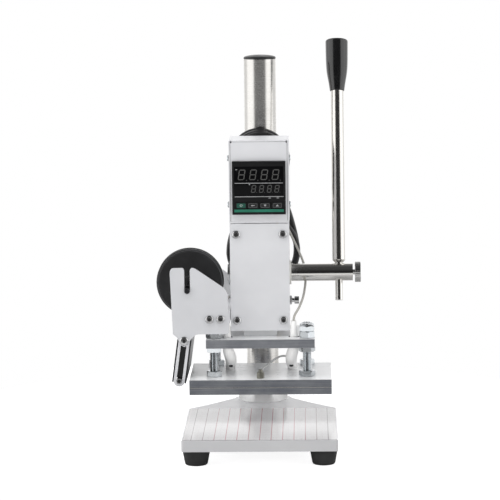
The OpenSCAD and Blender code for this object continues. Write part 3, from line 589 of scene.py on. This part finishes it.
# plug: moulded body, ribbed neck, two blades and an earth pin
bm = bmesh.new()
bmesh.ops.create_cube(bm, size=1.0)
for v in bm.verts:
    top = v.co.z > 0
    v.co = P(v.co.x * 2 * (10.6 if top else 13), 219.5 + v.co.y * 2 * (9 if top else 11), 114 if top else 90)
bmesh.ops.bevel(bm, geom=bm.edges[:], offset=3.0 * MM, segments=4, profile=0.6, affect="EDGES")
me = bpy.data.meshes.new("plug_body")
bm.to_mesh(me)
bm.free()
plug = add("plug_body", me, M["plug_black"], "head", 40)
neck = [(3.05, 110), (8.0, 110), (8.0, 114.5), (7.2, 117)]
for i in range(6):
    r = 6.6 - 0.45 * i
    neck += [(r, 118 + 4.3 * i), (r - 0.1, 120.6 + 4.3 * i), (r - 0.95, 121.0 + 4.3 * i), (r - 1.0, 121.9 + 4.3 * i)]
neck += [(3.7, 145.5), (3.3, 146), (3.05, 146)]
plug_neck = lathe("plug_neck", neck, P(0, 219.5, 0), (0, 0, 1), M["plug_black"], "head", 40, 30)
blades = []
for x in (-6.35, 6.35):
    bm = bmesh.new()
    bmesh.ops.create_cube(bm, size=1.0)
    for v in bm.verts:
        low = v.co.z < 0
        v.co = P(x + v.co.x * (1.1 if low else 1.5), 216.65 + v.co.y * (5.2 if low else 6.3), 72 if low else 91)
    bmesh.ops.bevel(bm, geom=bm.edges[:], offset=0.3 * MM, segments=2, affect="EDGES")
    blades.append(([v.co.copy() for v in bm.verts], [[v.index for v in f.verts] for f in bm.faces]))
    bm.free()
blades.append(turned([(0, 69), (1.4, 69.2), (2.2, 70.4), (2.4, 72), (2.4, 91), (0, 91)], P(0, 225.5, 0), (0, 0, 1), 24))
prongs = add("plug_blades", mesh_from("plug_blades", *joined(blades)), M["nickel"], "head", 40)
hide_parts("power_plug")

# ------------------------------------------------------------------ CAD nodes that keep their shape
paint("base_paint", "base_plate")
paint("grid_print", "grid_sheet")
paint("turned_chrome", "column")
paint("chrome_bar", "lever_shaft")
paint("rod_chrome", "lever_rod")
paint("zinc_steel", "foot_screws", "column_bolt", "panel_screws", "shaft_ring", "spring_pin", "return_spring", "plate_screws")
paint("screw_steel", "cover_screws", "bracket_screws", "arm_pivots", "gib_screw")
paint("white_paint", "head_frame", "front_cover", "controller_panel", "controller_chassis", "bracket_bar", "guide_arms")
# the front bracket gets a darker copy of the white paint as painted shade, the rear one a lighter copy as painted light
paint("white_paint_painted_shade", "foil_bracket_front")
paint("white_paint_painted_light", "foil_bracket_rear")
paint("bush_plastic", "shaft_bushes")
paint("gib_brass", "gib_strip")
# the foil axle gets black steel: a painted dark reflection on what is a chrome rod
paint("black_steel", "clamp_screws", "guide_plates", "foil_axle")
paint("controller_case", "temp_controller")
paint("key_rubber", "key_set", "key_shift", "key_down", "key_up")
paint("plug_black", "cord_tie")
paint("gear_steel", "drive_pinion", "guide_rod")
paint("ram_satin", "ram")
paint("plate_alu", "heat_plate", "die_plate")
paint("press_alu", "press_plate")
paint("mica", "heater_element")
paint("probe_brass", "thermocouple")
soften("base_plate", 0.9, 3)
for n in ("front_cover", "foil_bracket_front", "foil_bracket_rear", "guide_arms"):
    soften(n, 0.35, 2)
for n in ("controller_panel", "controller_chassis"):
    soften(n, 0.28, 2)
for n in ("heat_plate", "die_plate", "press_plate", "head_frame", "bracket_bar", "ram"):
    soften(n, 0.4, 2)
for n in ("temp_controller",):
    soften(n, 0.25, 2)
for n in ("key_set", "key_shift", "key_down", "key_up"):
    soften(n, 0.45, 3)
for n in ("guide_plates", "thermocouple", "clamp_screws", "gib_screw", "lever_shaft", "guide_rod", "shaft_bushes", "foil_axle"):
    soften(n, 0.2, 2)

# ------------------------------------------------------------------ turned pieces
L = 219.4
lever_axis = (0, math.sin(math.radians(15)), math.cos(math.radians(15)))
knob = soft_profile([(6.75, L - 49.3), (6.9, L - 48.8), (7.35, L - 45.5), (8.05, L - 41), (8.9, L - 36.5), (9.6, L - 32), (10.05, L - 27), (10.3, L - 21),
                     (10.45, L - 12), (10.55, L - 3.2)], 5)
knob += [(8.55 + 2 * math.cos(math.radians(a)), L - 3 + 2 * math.sin(math.radians(a))) for a in (8, 22, 36, 50, 64, 78)]
knob += [(7.6, L - 0.75), (6.2, L - 0.5), (3.5, L - 0.15), (0, L)]
knob_prof = [(0, L - 33), (6.0, L - 33), (6.0, L - 49.7), (6.4, L - 49.7)] + knob
ob = lathe("knob", knob_prof, P(72, 136, 152.4), lever_axis, M["knob_black"], "lever", 72, 40)
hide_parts("lever_knob")

cap = [(0, 337.2), (5.98, 337.2), (5.98, 346.7), (14.7, 346.7), (15.0, 347.0), (15.0, 347.8)]
cap += [(15 * math.cos(math.radians(a)), 348.0 + 2.6 * math.sin(math.radians(a))) for a in range(6, 84, 6)] + [(0, 350.6)]
ob = lathe("column_plug", cap, P(0, 187, 0), (0, 0, 1), M["cap_black"], "base", 72, 40)
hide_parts("column_cap")

col = [(15.02, 24), (22.6, 24), (23, 24.4), (23, 45.2), (22.8, 45.8), (22.2, 46.4), (21.8, 47.4), (21.2, 48), (15.02, 48)]
ob = lathe("foot_collar", col, P(0, 187, 0), (0, 0, 1), M["collar_steel"], "base", 96, 30)
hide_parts("column_collar")

feet = []
foot = [(2.1, 5), (5, 5), (5, 0), (8.6, 0), (9.3, 0.2), (9.9, 0.8), (10.2, 1.6), (12.2, 12.6), (12.5, 13.3), (12.5, 14), (2.1, 14)]
for x in (-56, 56):
    for d in (15, 125):
        feet.append(turned(foot, P(x, d, 0), (0, 0, 1), 56))
ob = add("feet", mesh_from("feet", *joined(feet)), M["black_rubber"], "base", 35)
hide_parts("rubber_feet")

cheeks = []
R = 30.9
front = [(2.5, 120), (6.6, 120), (7, 120.4), (7, 125.2), (7.4, 125.8), (8.2, 126), (R - 2.6, 126), (R - 2.1, 126.35), (R - 1.5, 126.35),
         (R - 1.0, 126), (R - 0.5, 126.1), (R, 126.7), (R, 129.1), (R - 0.6, 129.8), (2.5, 129.8)]
cheeks.append(turned(front, P(-65.1, 0, 145.1), (0, 1, 0), 128))
cheeks.append(turned([(r, 264 - h) for r, h in front], P(-65.1, 0, 145.1), (0, 1, 0), 128))
ob = add("cheeks", mesh_from("cheeks", *joined(cheeks)), M["black_fibre"], "reel", 28)
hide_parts("foil_cheeks")

# knurled thumb screw
def knurl(kk, r, h):
    return -0.14 if (kk % 4 in (0, 3)) and r > 9.3 else 0.0


th = [(0, 76.2), (2.0, 76.2), (2.4, 76.6), (2.4, 86.6), (9.1, 86.6), (9.4, 86.85), (9.4, 91.75), (9.1, 92.0), (6.2, 92.0), (5.9, 91.75), (0, 91.75)]
ob = lathe("thumb_knob", th, P(0, 136, 152.4), (1, 0, 0), M["thumb_steel"], "thumb", 160, 30, knurl)
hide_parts("thumb_screw")


# ------------------------------------------------------------------ threads and nuts
def thread(x, d, z0, z1, major=4.0, minor=3.38, pitch=1.25, segs=28, per=6):
    """A rod with a helical thread, its ends chamfered."""
    rows = int((z1 - z0) / (pitch / per))
    verts, faces = [], []
    for i in range(rows + 1):
        z = z0 + (z1 - z0) * i / rows
        cham = min(1.0, (z - z0 + 0.02) / 0.9, (z1 - z + 0.02) / 0.9)
        for k in range(segs):
            t = k / segs
            ph = (z / pitch - t) % 1.0
            tri = 1 - abs(2 * ph - 1)
            r = minor + (major - minor) * min(1.0, max(0.0, (tri - 0.12) / 0.72))
            r = min(r, minor - 0.25 + (major - minor + 0.25) * cham)
            verts.append(P(x + r * math.cos(2 * math.pi * t), d + r * math.sin(2 * math.pi * t), z))
    for i in range(rows):
        for k in range(segs):
            j = (k + 1) % segs
            faces.append([i * segs + k, i * segs + j, (i + 1) * segs + j, (i + 1) * segs + k])
    faces.append(list(range(segs))[::-1])
    faces.append([rows * segs + k for k in range(segs)])
    return verts, faces


studs = [thread(x, d, 59.8, top) for x in (-42, 42) for d, top in ((86.5, 112.8), (142, 105))]
ob = add("threaded_studs", mesh_from("threaded_studs", *joined(studs)), M["zinc_steel"], "ram", 50)
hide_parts("plate_studs")


def hex_nut(x, d, z0, h, af, turn=0.0, bore=4.05, dome=0.0, segs=96):
    """A hexagon nut: chamfered on both ends, or with a curved crown of that height on top."""
    rc = af / 2 * 0.95
    verts, faces = [], []

    def ring_at(fr, fz):
        k0 = len(verts)
        for k in range(segs):
            t = 2 * math.pi * k / segs
            m = (t + math.pi / 6) % (math.pi / 3) - math.pi / 6
            R6 = af / 2 / math.cos(m)
            r, z = fr(R6), fz(R6)
            verts.append(P(x + r * math.cos(t + turn), d + r * math.sin(t + turn), z))
        return list(range(k0, k0 + segs))

    slope = math.tan(math.radians(30))
    rings = [ring_at(lambda R6: bore, lambda R6: z0 + 0.4), ring_at(lambda R6: bore + 0.4, lambda R6: z0), ring_at(lambda R6: rc, lambda R6: z0),
             ring_at(lambda R6: R6, lambda R6: z0 + (R6 - rc) * slope)]
    rings.append(ring_at(lambda R6: R6, lambda R6: z0 + h - dome - (R6 - rc) * slope))
    rings.append(ring_at(lambda R6: rc, lambda R6: z0 + h - dome))
    if dome:
        for q in (0.3, 0.6, 0.85):
            rings.append(ring_at(lambda R6: rc - (rc - bore - 0.5) * q, lambda R6: z0 + h - dome * (1 - math.sin(q * math.pi / 2))))
    rings.append(ring_at(lambda R6: bore + 0.4, lambda R6: z0 + h))
    rings.append(ring_at(lambda R6: bore, lambda R6: z0 + h - 0.4))
    n = len(rings)
    for i in range(n):
        p, q = rings[i], rings[(i + 1) % n]
        for k in range(segs):
            j = (k + 1) % segs
            faces.append([p[k], p[j], q[j], q[k]])
    return verts, faces


# height of the lower face, thickness, turn on the left and the right stud, crown
flat_on, corner_on = math.pi / 6, 0.0
front_nuts = ((65, 5, 0.17, flat_on, 0), (87.2, 4.8, corner_on, flat_on, 0), (100, 6.08, flat_on + 0.12, corner_on + 0.14, 0),
              (106.12, 6.08, flat_on, corner_on, 1.1))
rear_nuts = ((65, 5, 0.3, 0.14, 0), (87.2, 4.8, 0.2, 0.4, 0), (100, 4.2, 0.35, 0.1, 0.6))
nuts = []
for d, stack in ((86.5, front_nuts), (142, rear_nuts)):
    for z0, h, turn_l, turn_r, crown in stack:
        nuts.append(hex_nut(-42, d, z0, h, 13, turn_l, dome=crown))
        nuts.append(hex_nut(42, d, z0, h, 13, turn_r, dome=crown))
ob = add("stud_nuts", mesh_from("stud_nuts", *joined(nuts)), M["zinc_steel"], "ram", 28)
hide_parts("plate_nuts")

# ------------------------------------------------------------------ painted shade in the screw sockets and at the sheet's edge
def hexagon(cx, cz, r):
    return [(cx + r * math.cos(math.radians(60 * k + 30)), cz + r * math.sin(math.radians(60 * k + 30))) for k in range(6)]


# black hex plates just inside each socket: painted shade for the socket's dark hollow
prisms("cover_socket_shade", [hexagon(x, z, 1.86) for x in (-21, 21) for z in (115, 193.5)], 89.75, 1.6, M["painted_shade_black"], "head")
prisms("bracket_socket_shade", [hexagon(x, 119, 1.86) for x in (-45.5, -35.5)], 73.25, 1.6, M["painted_shade_black"], "head")
prisms("bracket_socket_shade_rear", [hexagon(x, 119, 1.86) for x in (-45.5, -35.5)], 174.6, 1.6, M["painted_shade_black"], "head")
prisms("pivot_socket_shade", [hexagon(-68.5, 99.4, 1.8)], 72.56, 1.0, M["painted_shade_black"], "head")
prisms("pivot_socket_shade_rear", [hexagon(-68.5, 99.4, 1.8)], 175.94, 1.0, M["painted_shade_black"], "head")
round_box("plate_seam", -64.06, 64.06, 65.94, 150.06, 57.72, 58.28, 0.1, M["nickel"], "ram", 2)
# dark grey strip along the sheet's front edge: painted shade for the gap between sheet and base
round_box("sheet_edge_shade", -67.4, 67.4, 0.55, 1.02, 23.55, 24.28, 0.1, M["shade_line_grey"], "base", 2)

# ------------------------------------------------------------------ leads and sleeves
def bent(points, step=2.0):
    return catmull([P(*q) for q in points], step)


right_line = bent(((8, 138, 209.5), (8, 145, 209.5), (11, 151, 208.5), (16, 156.5, 205.6), (20.5, 158.6, 199), (25.5, 158.8, 189.5),
                   (31, 158.5, 178), (36, 157.5, 167), (39.8, 155, 157), (41.2, 150, 148), (41, 141, 141.5), (40.3, 128, 138),
                   (39.5, 114, 135.5), (38, 104, 131.5), (35, 96.5, 125.5), (31.4, 92.6, 120), (30.2, 92, 115), (30.2, 92, 100),
                   (30.2, 92, 86.5)))
left_line = bent(((-19.5, 110, 134), (-26, 110, 134), (-28.9, 107.5, 134), (-30.2, 101, 133.2), (-30.2, 95.2, 130.2), (-30.2, 92.3, 124.5),
                  (-30.2, 92, 115), (-30.2, 92, 100), (-30.2, 92, 86.5)))
lead_r = wire("heater_lead_right", right_line, 1.1, M["lead_sheath"], "head", 4)
lead_l = wire("heater_lead_left", left_line, 1.1, M["lead_sheath"], "head", 4)
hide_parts("heater_leads")
probe = wire("probe_lead", bent(((0, 77.1, 72), (3, 82, 73.2), (8, 89.5, 76), (14, 95.5, 79.3), (19, 97.5, 81), (23.4, 97.3, 81)), 1.5),
             0.9, M["probe_braid"], "ram", 4)
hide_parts("thermocouple_lead")


def hose(outer, inner, low, segs=36):
    """Vertices and faces of a soft hose from its mouth: the outer path and the bore as (x, depth, height, radius), cut level at height low."""
    verts, faces = [], []

    def rings(path, soft):
        pts = catmull([Vector((*P(*q[:3]), q[3] * MM)) for q in path], 0.9)
        side, rows = None, []
        for i, q in enumerate(pts):
            t = (pts[min(i + 1, len(pts) - 1)].xyz - pts[max(i - 1, 0)].xyz).normalized()
            side = axes(t)[1] if side is None else (side - t * side.dot(t)).normalized()
            up = t.cross(side)
            row = []
            for k in range(segs):
                a = 2 * math.pi * k / segs
                away = side * math.cos(a) + up * math.sin(a)
                v = q.xyz + away * q.w
                if soft:
                    v += away * (mnoise.noise(v * 260) * 0.00022 + mnoise.noise(v * 90) * 0.00018)
                v.z = max(v.z, low * MM)
                row.append(len(verts))
                verts.append(v)
            rows.append(row)
            if v.z <= low * MM and all(verts[j].z <= low * MM + 1e-9 for j in row):
                break
        return rows

    def skin(rows, turn):
        for p, q in zip(rows, rows[1:]):
            for k in range(segs):
                j = (k + 1) % segs
                faces.append([p[k], p[j], q[j], q[k]][::turn])

    o, i = rings(outer, True), rings(inner, False)
    skin(o, 1)
    skin(i, -1)
    skin([i[0], o[0]], 1)
    faces.append(o[-1])
    faces.append(i[-1][::-1])
    return verts, faces


sleeve_out = ((30.2, 92, 114.4, 2.4), (30.2, 92, 108, 2.9), (30.2, 92, 100, 3.5), (30.2, 92.1, 93, 4.2), (29.3, 92.9, 87, 4.9), (27.8, 97, 80.8, 5.2),
              (27.6, 104.5, 76, 5.1), (28, 113, 72, 4.8), (28.6, 119.5, 67.8, 4.5), (28.8, 122, 62, 4.4))
sleeve_in = ((30.2, 92, 114.2, 1.8), (30.2, 92, 108, 1.9), (30.2, 92, 100, 2.4), (30.2, 92.1, 93, 3), (29.3, 92.9, 87, 3.5), (27.8, 97, 80.8, 3.6),
             (27.6, 104.5, 76, 3))
sleeves = []
for s in (-1, 1):
    sleeves.append(hose([(s * q[0], *q[1:]) for q in sleeve_out], [(s * q[0], *q[1:]) for q in sleeve_in], 65.0))
ob = add("woven_sleeves", mesh_from("woven_sleeves", *joined(sleeves)), M["glass_sleeve"], "ram", 45)
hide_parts("heater_sleeves")

# grommets where the leads leave the box and the head
grommets = [turned([(1.15, 139), (2.6, 139), (2.6, 141.05), (2.4, 142.0), (1.6, 142.4), (1.15, 142.2)], P(8, 0, 209.5), (0, 1, 0), 28),
            turned([(1.15, 26), (1.55, 26), (1.55, 26.55), (2.8, 26.55), (2.6, 27.2), (1.9, 27.6), (1.15, 27.5)], P(0, 110, 134), (-1, 0, 0), 28)]
add("lead_grommets", mesh_from("lead_grommets", *joined(grommets)), M["black_rubber"], "head", 40)

# crimped eyelet in the foot of each sleeve
eyes = []
for s in (-1, 1):
    eyes.append(turned([(0, -1.2), (1.9, -1.2), (1.9, 0.35), (1.75, 0.7), (1.35, 0.95), (0.95, 0.85), (0.8, 0.5), (0, 0.45)],
                       P(s * 27.6, 102.1, 71.5), (0, -0.48, -0.877), 28))
add("sleeve_eyelets", mesh_from("sleeve_eyelets", *joined(eyes)), M["black_steel"], "ram", 30)

# black sheet behind the slot of each guide arm: painted shade for the dark slot
tilt = math.radians(8)


def hang(x, d, z):
    """A point of the hanging guide, from its own upright millimetres under the pivot."""
    return P(-68.5 + x * math.cos(tilt) + z * math.sin(tilt), d, 99.4 - x * math.sin(tilt) + z * math.cos(tilt))


slot_shades = []
for d in (80.5, 168.0):
    v, f = [], []
    for dd in (d, d + 0.9):
        for x, z in ((-4.9, -2.9), (4.9, -2.9), (4.9, -34.8), (-4.9, -34.8)):
            v.append(hang(x, dd, z))
    f = [[0, 1, 2, 3], [7, 6, 5, 4], [0, 4, 5, 1], [1, 5, 6, 2], [2, 6, 7, 3], [3, 7, 4, 0]]
    slot_shades.append((v, f))
add("guide_slot_shade", mesh_from("guide_slot_shade", *joined(slot_shades)), M["painted_shade_black"], "guide", 40)

# black hex plates at the guide rod's ends: painted shade for the dark sockets
rod_end = []
for d in (76.62, 172.5):
    ring0 = [hang(1.7 * math.cos(math.radians(60 * k)), d, -37.6 + 1.7 * math.sin(math.radians(60 * k))) for k in range(6)]
    ring1 = [q + Vector((0, 0.0003, 0)) for q in ring0]
    rod_end.append((ring0 + ring1, [list(range(6)), list(range(11, 5, -1))] + [[k, (k + 1) % 6, 6 + (k + 1) % 6, 6 + k] for k in range(6)]))
add("rod_socket_shade", mesh_from("rod_socket_shade", *joined(rod_end)), M["painted_shade_black"], "guide", None)

# ------------------------------------------------------------------ controller face
CZ = 236.0
round_box("display_window", -21.9, 21.9, 86.46, 86.95, CZ - 6.9, CZ + 19.4, 0.18, M["window"], "head", 2)


def digit(cx, cz, wd, ht, t, slant=0.16):
    """Outlines of the seven segments of one digit."""
    g2 = 0.10 * t
    hx, hz = wd / 2 - t / 2, ht / 2 - t / 2

    def bar(x0, z0, x1, z1):
        dx, dz = x1 - x0, z1 - z0
        ln = math.hypot(dx, dz)
        ux, uz = dx / ln, dz / ln
        px, pz = -uz * t / 2, ux * t / 2
        a0, a1 = g2, ln - g2
        pts = [(a0, 0), (a0 + t / 2, 1), (a1 - t / 2, 1), (a1, 0), (a1 - t / 2, -1), (a0 + t / 2, -1)]
        out = []
        for a, s in pts:
            x = x0 + ux * a + px * s
            z = z0 + uz * a + pz * s
            out.append((cx + x + slant * z, cz + z))
        return out

    return [bar(-hx, hz, hx, hz), bar(-hx, 0, hx, 0), bar(-hx, -hz, hx, -hz), bar(-hx, 0, -hx, hz), bar(hx, 0, hx, hz),
            bar(-hx, -hz, -hx, 0), bar(hx, -hz, hx, 0)]


def dot(cx, cz, r, n=20):
    return [(cx + r * math.cos(2 * math.pi * k / n), cz + r * math.sin(2 * math.pi * k / n)) for k in range(n)]


def bar_shape(x0, x1, z0, z1):
    return [(x0, z0), (x1, z0), (x1, z1), (x0, z1)]


def soft_rect(cx, cz, hx, hz, r):
    """Outline of a rectangle with rounded corners, twenty points."""
    out = []
    for qx, qz, a0 in ((1, 1, 0), (-1, 1, 90), (-1, -1, 180), (1, -1, 270)):
        for k in range(5):
            a = math.radians(a0 + 22.5 * k)
            out.append((cx + qx * (hx - r) + r * math.cos(a), cz + qz * (hz - r) + r * math.sin(a)))
    return out


face = 86.46
big = []
for x in (-15.3, -5.1, 5.1, 15.1):
    big += digit(x, CZ + 12.05, 5.9, 9.5, 0.85)
prisms("digits_upper", big, face - 0.05, 0.06, M["segment_big"], "head")
small = []
for x in (-4.65, 2.45, 9.5, 16.3):
    small += digit(x, CZ - 0.7, 4.0, 6.8, 0.7)
prisms("digits_lower", small, face - 0.05, 0.06, M["segment_small"], "head")
points = [dot(x + 4.3, CZ + 7.0, 0.55) for x in (-15.3, -5.1, 5.1, 15.1)] + [dot(x + 2.7, CZ - 3.9, 0.35) for x in (-4.65, 2.45, 9.5, 16.3)]
prisms("decimal_points", points, face - 0.05, 0.06, M["segment_dim"], "head")
marks = [bar_shape(-21.7, 21.7, CZ + 4.2, CZ + 4.75), bar_shape(-8.9, -7.8, CZ + 2.9, CZ + 3.8), bar_shape(-20.9, -19.3, CZ + 16.4, CZ + 17.0)]
prisms("display_marks", marks, face - 0.05, 0.06, M["print_grey"], "head")
lower = [bar_shape(-21.7, 22.2, CZ - 8.05, CZ - 7.45), bar_shape(8.6, 10.6, CZ - 9.3, CZ - 8.7), bar_shape(15.9, 18.1, CZ - 9.3, CZ - 8.7)]
prisms("face_marks", lower, 86.44, 0.1, M["print_grey"], "head")
prisms("green_strip", [bar_shape(-22.2, 22.2, CZ - 21.7, CZ - 19.2)], 86.42, 0.12, M["print_green"], "head")

# thin grey strips in the panel's seams: painted shade for the gaps
prisms("panel_gap_shade", [bar_shape(25.38, 25.77, 206, 276.4), bar_shape(-25.77, -25.38, 206, 276.4), bar_shape(-24.9, 24.9, 276.93, 277.27)], 92.18, 0.2,
       M["shade_line_grey"], "head")

KX = (-16, -5.5, 5.5, 16.5)
KZ = CZ - 15.7
kd = 86.06
prisms("key_patch", [soft_rect(KX[0], KZ, 3.95, 2.05, 0.7)], kd, 0.06, M["key_green"], "set_button")
frames = [("shift", 1), ("down", 2), ("up", 3)]
for key_name, k in frames:
    o, q = soft_rect(KX[k], KZ, 3.9, 2.0, 0.8), soft_rect(KX[k], KZ, 3.62, 1.72, 0.55)
    prisms("frame_" + key_name, [[o[i], o[(i + 1) % 20], q[(i + 1) % 20], q[i]] for i in range(20)], kd, 0.06, M["print_dim"], key_name + "_button")
loop_icon = []
for k in range(14):
    a0, a1 = math.radians(40 + 20 * k), math.radians(40 + 20 * (k + 1))
    loop_icon.append([(KX[0] + r * math.cos(a) * 1.15, KZ + r * math.sin(a)) for r, a in ((0.75, a0), (1.05, a0), (1.05, a1), (0.75, a1))])
loop_icon.append([(KX[0] + 0.45, KZ + 0.15), (KX[0] + 1.55, KZ + 0.15), (KX[0] + 1.0, KZ + 0.9)])
prisms("icon_set", loop_icon, kd - 0.03, 0.05, M["print_pale"], "set_button")
prisms("icon_shift", [[(KX[1] - 1.7, KZ), (KX[1] - 0.5, KZ + 0.95), (KX[1] - 0.5, KZ - 0.95)], bar_shape(KX[1] - 0.5, KX[1] + 1.6, KZ - 0.32, KZ + 0.32)],
       kd, 0.06, M["print_grey"], "shift_button")
prisms("icon_down", [[(KX[2], KZ - 1.0), (KX[2] + 1.35, KZ + 0.85), (KX[2] - 1.35, KZ + 0.85)]], kd, 0.06, M["print_grey"], "down_button")
prisms("icon_up", [[(KX[3], KZ + 1.0), (KX[3] - 1.35, KZ - 0.85), (KX[3] + 1.35, KZ - 0.85)]], kd, 0.06, M["print_grey"], "up_button")

# ------------------------------------------------------------------ stage and light
table = [(0.34 * math.cos(2 * math.pi * k / 96), 0.05 + 0.34 * math.sin(2 * math.pi * k / 96), -0.0001) for k in range(96)]
me = mesh_from("floor", table, [list(range(96))])
floor = bpy.data.objects.new("floor", me)
scene.collection.objects.link(floor)
fl = Mat("floor", (0.58, 0.58, 0.58), 0.9, spec=0.1)
fl.color(fl.ramp(fl.noise(3, 2), [(0.3, (0.575, 0.575, 0.575)), (0.7, (0.585, 0.585, 0.585))]))
glow = fl.n("ShaderNodeEmission")
glow.inputs[0].default_value = (1, 1, 1, 1)
glow.inputs[1].default_value = 0.85
both = fl.n("ShaderNodeAddShader")
fl.link(fl.b.outputs[0], both.inputs[0])
fl.link(glow.outputs[0], both.inputs[1])
pick = fl.n("ShaderNodeMixShader")
fl.link(fl.n("ShaderNodeLightPath").outputs["Is Camera Ray"], pick.inputs[0])
fl.link(fl.b.outputs[0], pick.inputs[1])
fl.link(both.outputs[0], pick.inputs[2])
fl.link(pick.outputs[0], fl.out.inputs[0])
me.materials.append(fl.m)

world = bpy.data.worlds.new("studio")
scene.world = world
world.use_nodes = True
nt = world.node_tree
nt.nodes.clear()


def wn(kind, **props):
    node = nt.nodes.new(kind)
    for key, v in props.items():
        setattr(node, key, v)
    return node


out = wn("ShaderNodeOutputWorld")
bg = wn("ShaderNodeBackground")
nt.links.new(bg.outputs[0], out.inputs[0])
tc = wn("ShaderNodeTexCoord")
sx = wn("ShaderNodeSeparateXYZ")
nt.links.new(tc.outputs["Generated"], sx.inputs[0])


def wmath(op, a, b=None):
    m = wn("ShaderNodeMath", operation=op)
    for key, v in enumerate((a, b)):
        if isinstance(v, bpy.types.NodeSocket):
            nt.links.new(v, m.inputs[key])
        elif v is not None:
            m.inputs[key].default_value = v
    return m.outputs[0]


def wspan(v, lo, hi, a=0.0, b=1.0):
    m = wn("ShaderNodeMapRange", interpolation_type="SMOOTHSTEP")
    nt.links.new(v, m.inputs["Value"])
    for key, q in (("From Min", lo), ("From Max", hi), ("To Min", a), ("To Max", b)):
        m.inputs[key].default_value = q
    return m.outputs["Result"]


flat = wmath("SQRT", wmath("ADD", wmath("MULTIPLY", sx.outputs[0], sx.outputs[0]), wmath("MULTIPLY", sx.outputs[1], sx.outputs[1])))
towards = wmath("DIVIDE", wmath("MULTIPLY", sx.outputs[1], -1.0), wmath("MAXIMUM", flat, 0.001))
height = sx.outputs[2]


def mixed(fac, a, b):
    """a where fac is 0, b where it is 1."""
    return wmath("ADD", wmath("MULTIPLY", a, wmath("SUBTRACT", 1.0, fac)), wmath("MULTIPLY", b, fac))


# white side panels, a dark front and ceiling, pale strips behind the panels and a white back
panel = wmath("MULTIPLY", wmath("MULTIPLY", wspan(towards, 0.80, 0.66), wspan(towards, -0.30, -0.18)), wmath("MULTIPLY", wspan(height, -0.42, -0.30), wspan(height, 0.80, 0.66)))
front = wspan(towards, 0.66, 0.80)
strips = wmath("MULTIPLY", wspan(towards, -0.18, -0.30), wspan(towards, -0.90, -0.82))
tone = mixed(strips, 1.2, 0.85)
tone = mixed(wspan(height, -0.30, -0.45), tone, 0.45)
tone = mixed(wspan(height, 0.35, 0.90), tone, 0.12)
shine = wn("ShaderNodeLightPath").outputs["Is Glossy Ray"]
tone = mixed(panel, tone, mixed(shine, 1.5, 1.35))
ahead = mixed(wspan(height, -0.02, -0.10), wspan(height, -0.05, 0.95, 0.008, 0.055), 0.14)
ahead = mixed(wspan(height, -0.15, -0.26), ahead, 0.95)
tone = mixed(front, tone, ahead)
cam_ray = wn("ShaderNodeLightPath").outputs["Is Camera Ray"]
tone = mixed(cam_ray, tone, 1.0)
bg.inputs[0].default_value = (1.0, 1.0, 1.0, 1)
nt.links.new(tone, bg.inputs[1])


def area(name, loc, target, size, power):
    ld = bpy.data.lights.new(name, "AREA")
    ld.shape = "RECTANGLE"
    ld.size, ld.size_y = size
    ld.energy = power
    ob = bpy.data.objects.new(name, ld)
    scene.collection.objects.link(ob)
    ob.location = loc
    ob.rotation_euler = (Vector(target) - Vector(loc)).to_track_quat("-Z", "Y").to_euler()
    return ob


soft_top = area("top_softbox", (-0.3, -0.5, 1.4), (0, 0, 0.15), (1.3, 1.0), 10.5)
soft_side = area("left_fill", (-1.2, -0.1, 0.35), (-0.06, 0.03, 0.14), (0.8, 0.8), 3.0)
soft_front = area("front_fill", (0.15, -1.7, 0.30), (0, 0, 0.13), (1.4, 0.9), 11.0)
for lamp in (soft_top, soft_side, soft_front):
    lamp.visible_glossy = False

# ------------------------------------------------------------------ update the scene
bpy.context.view_layer.update()
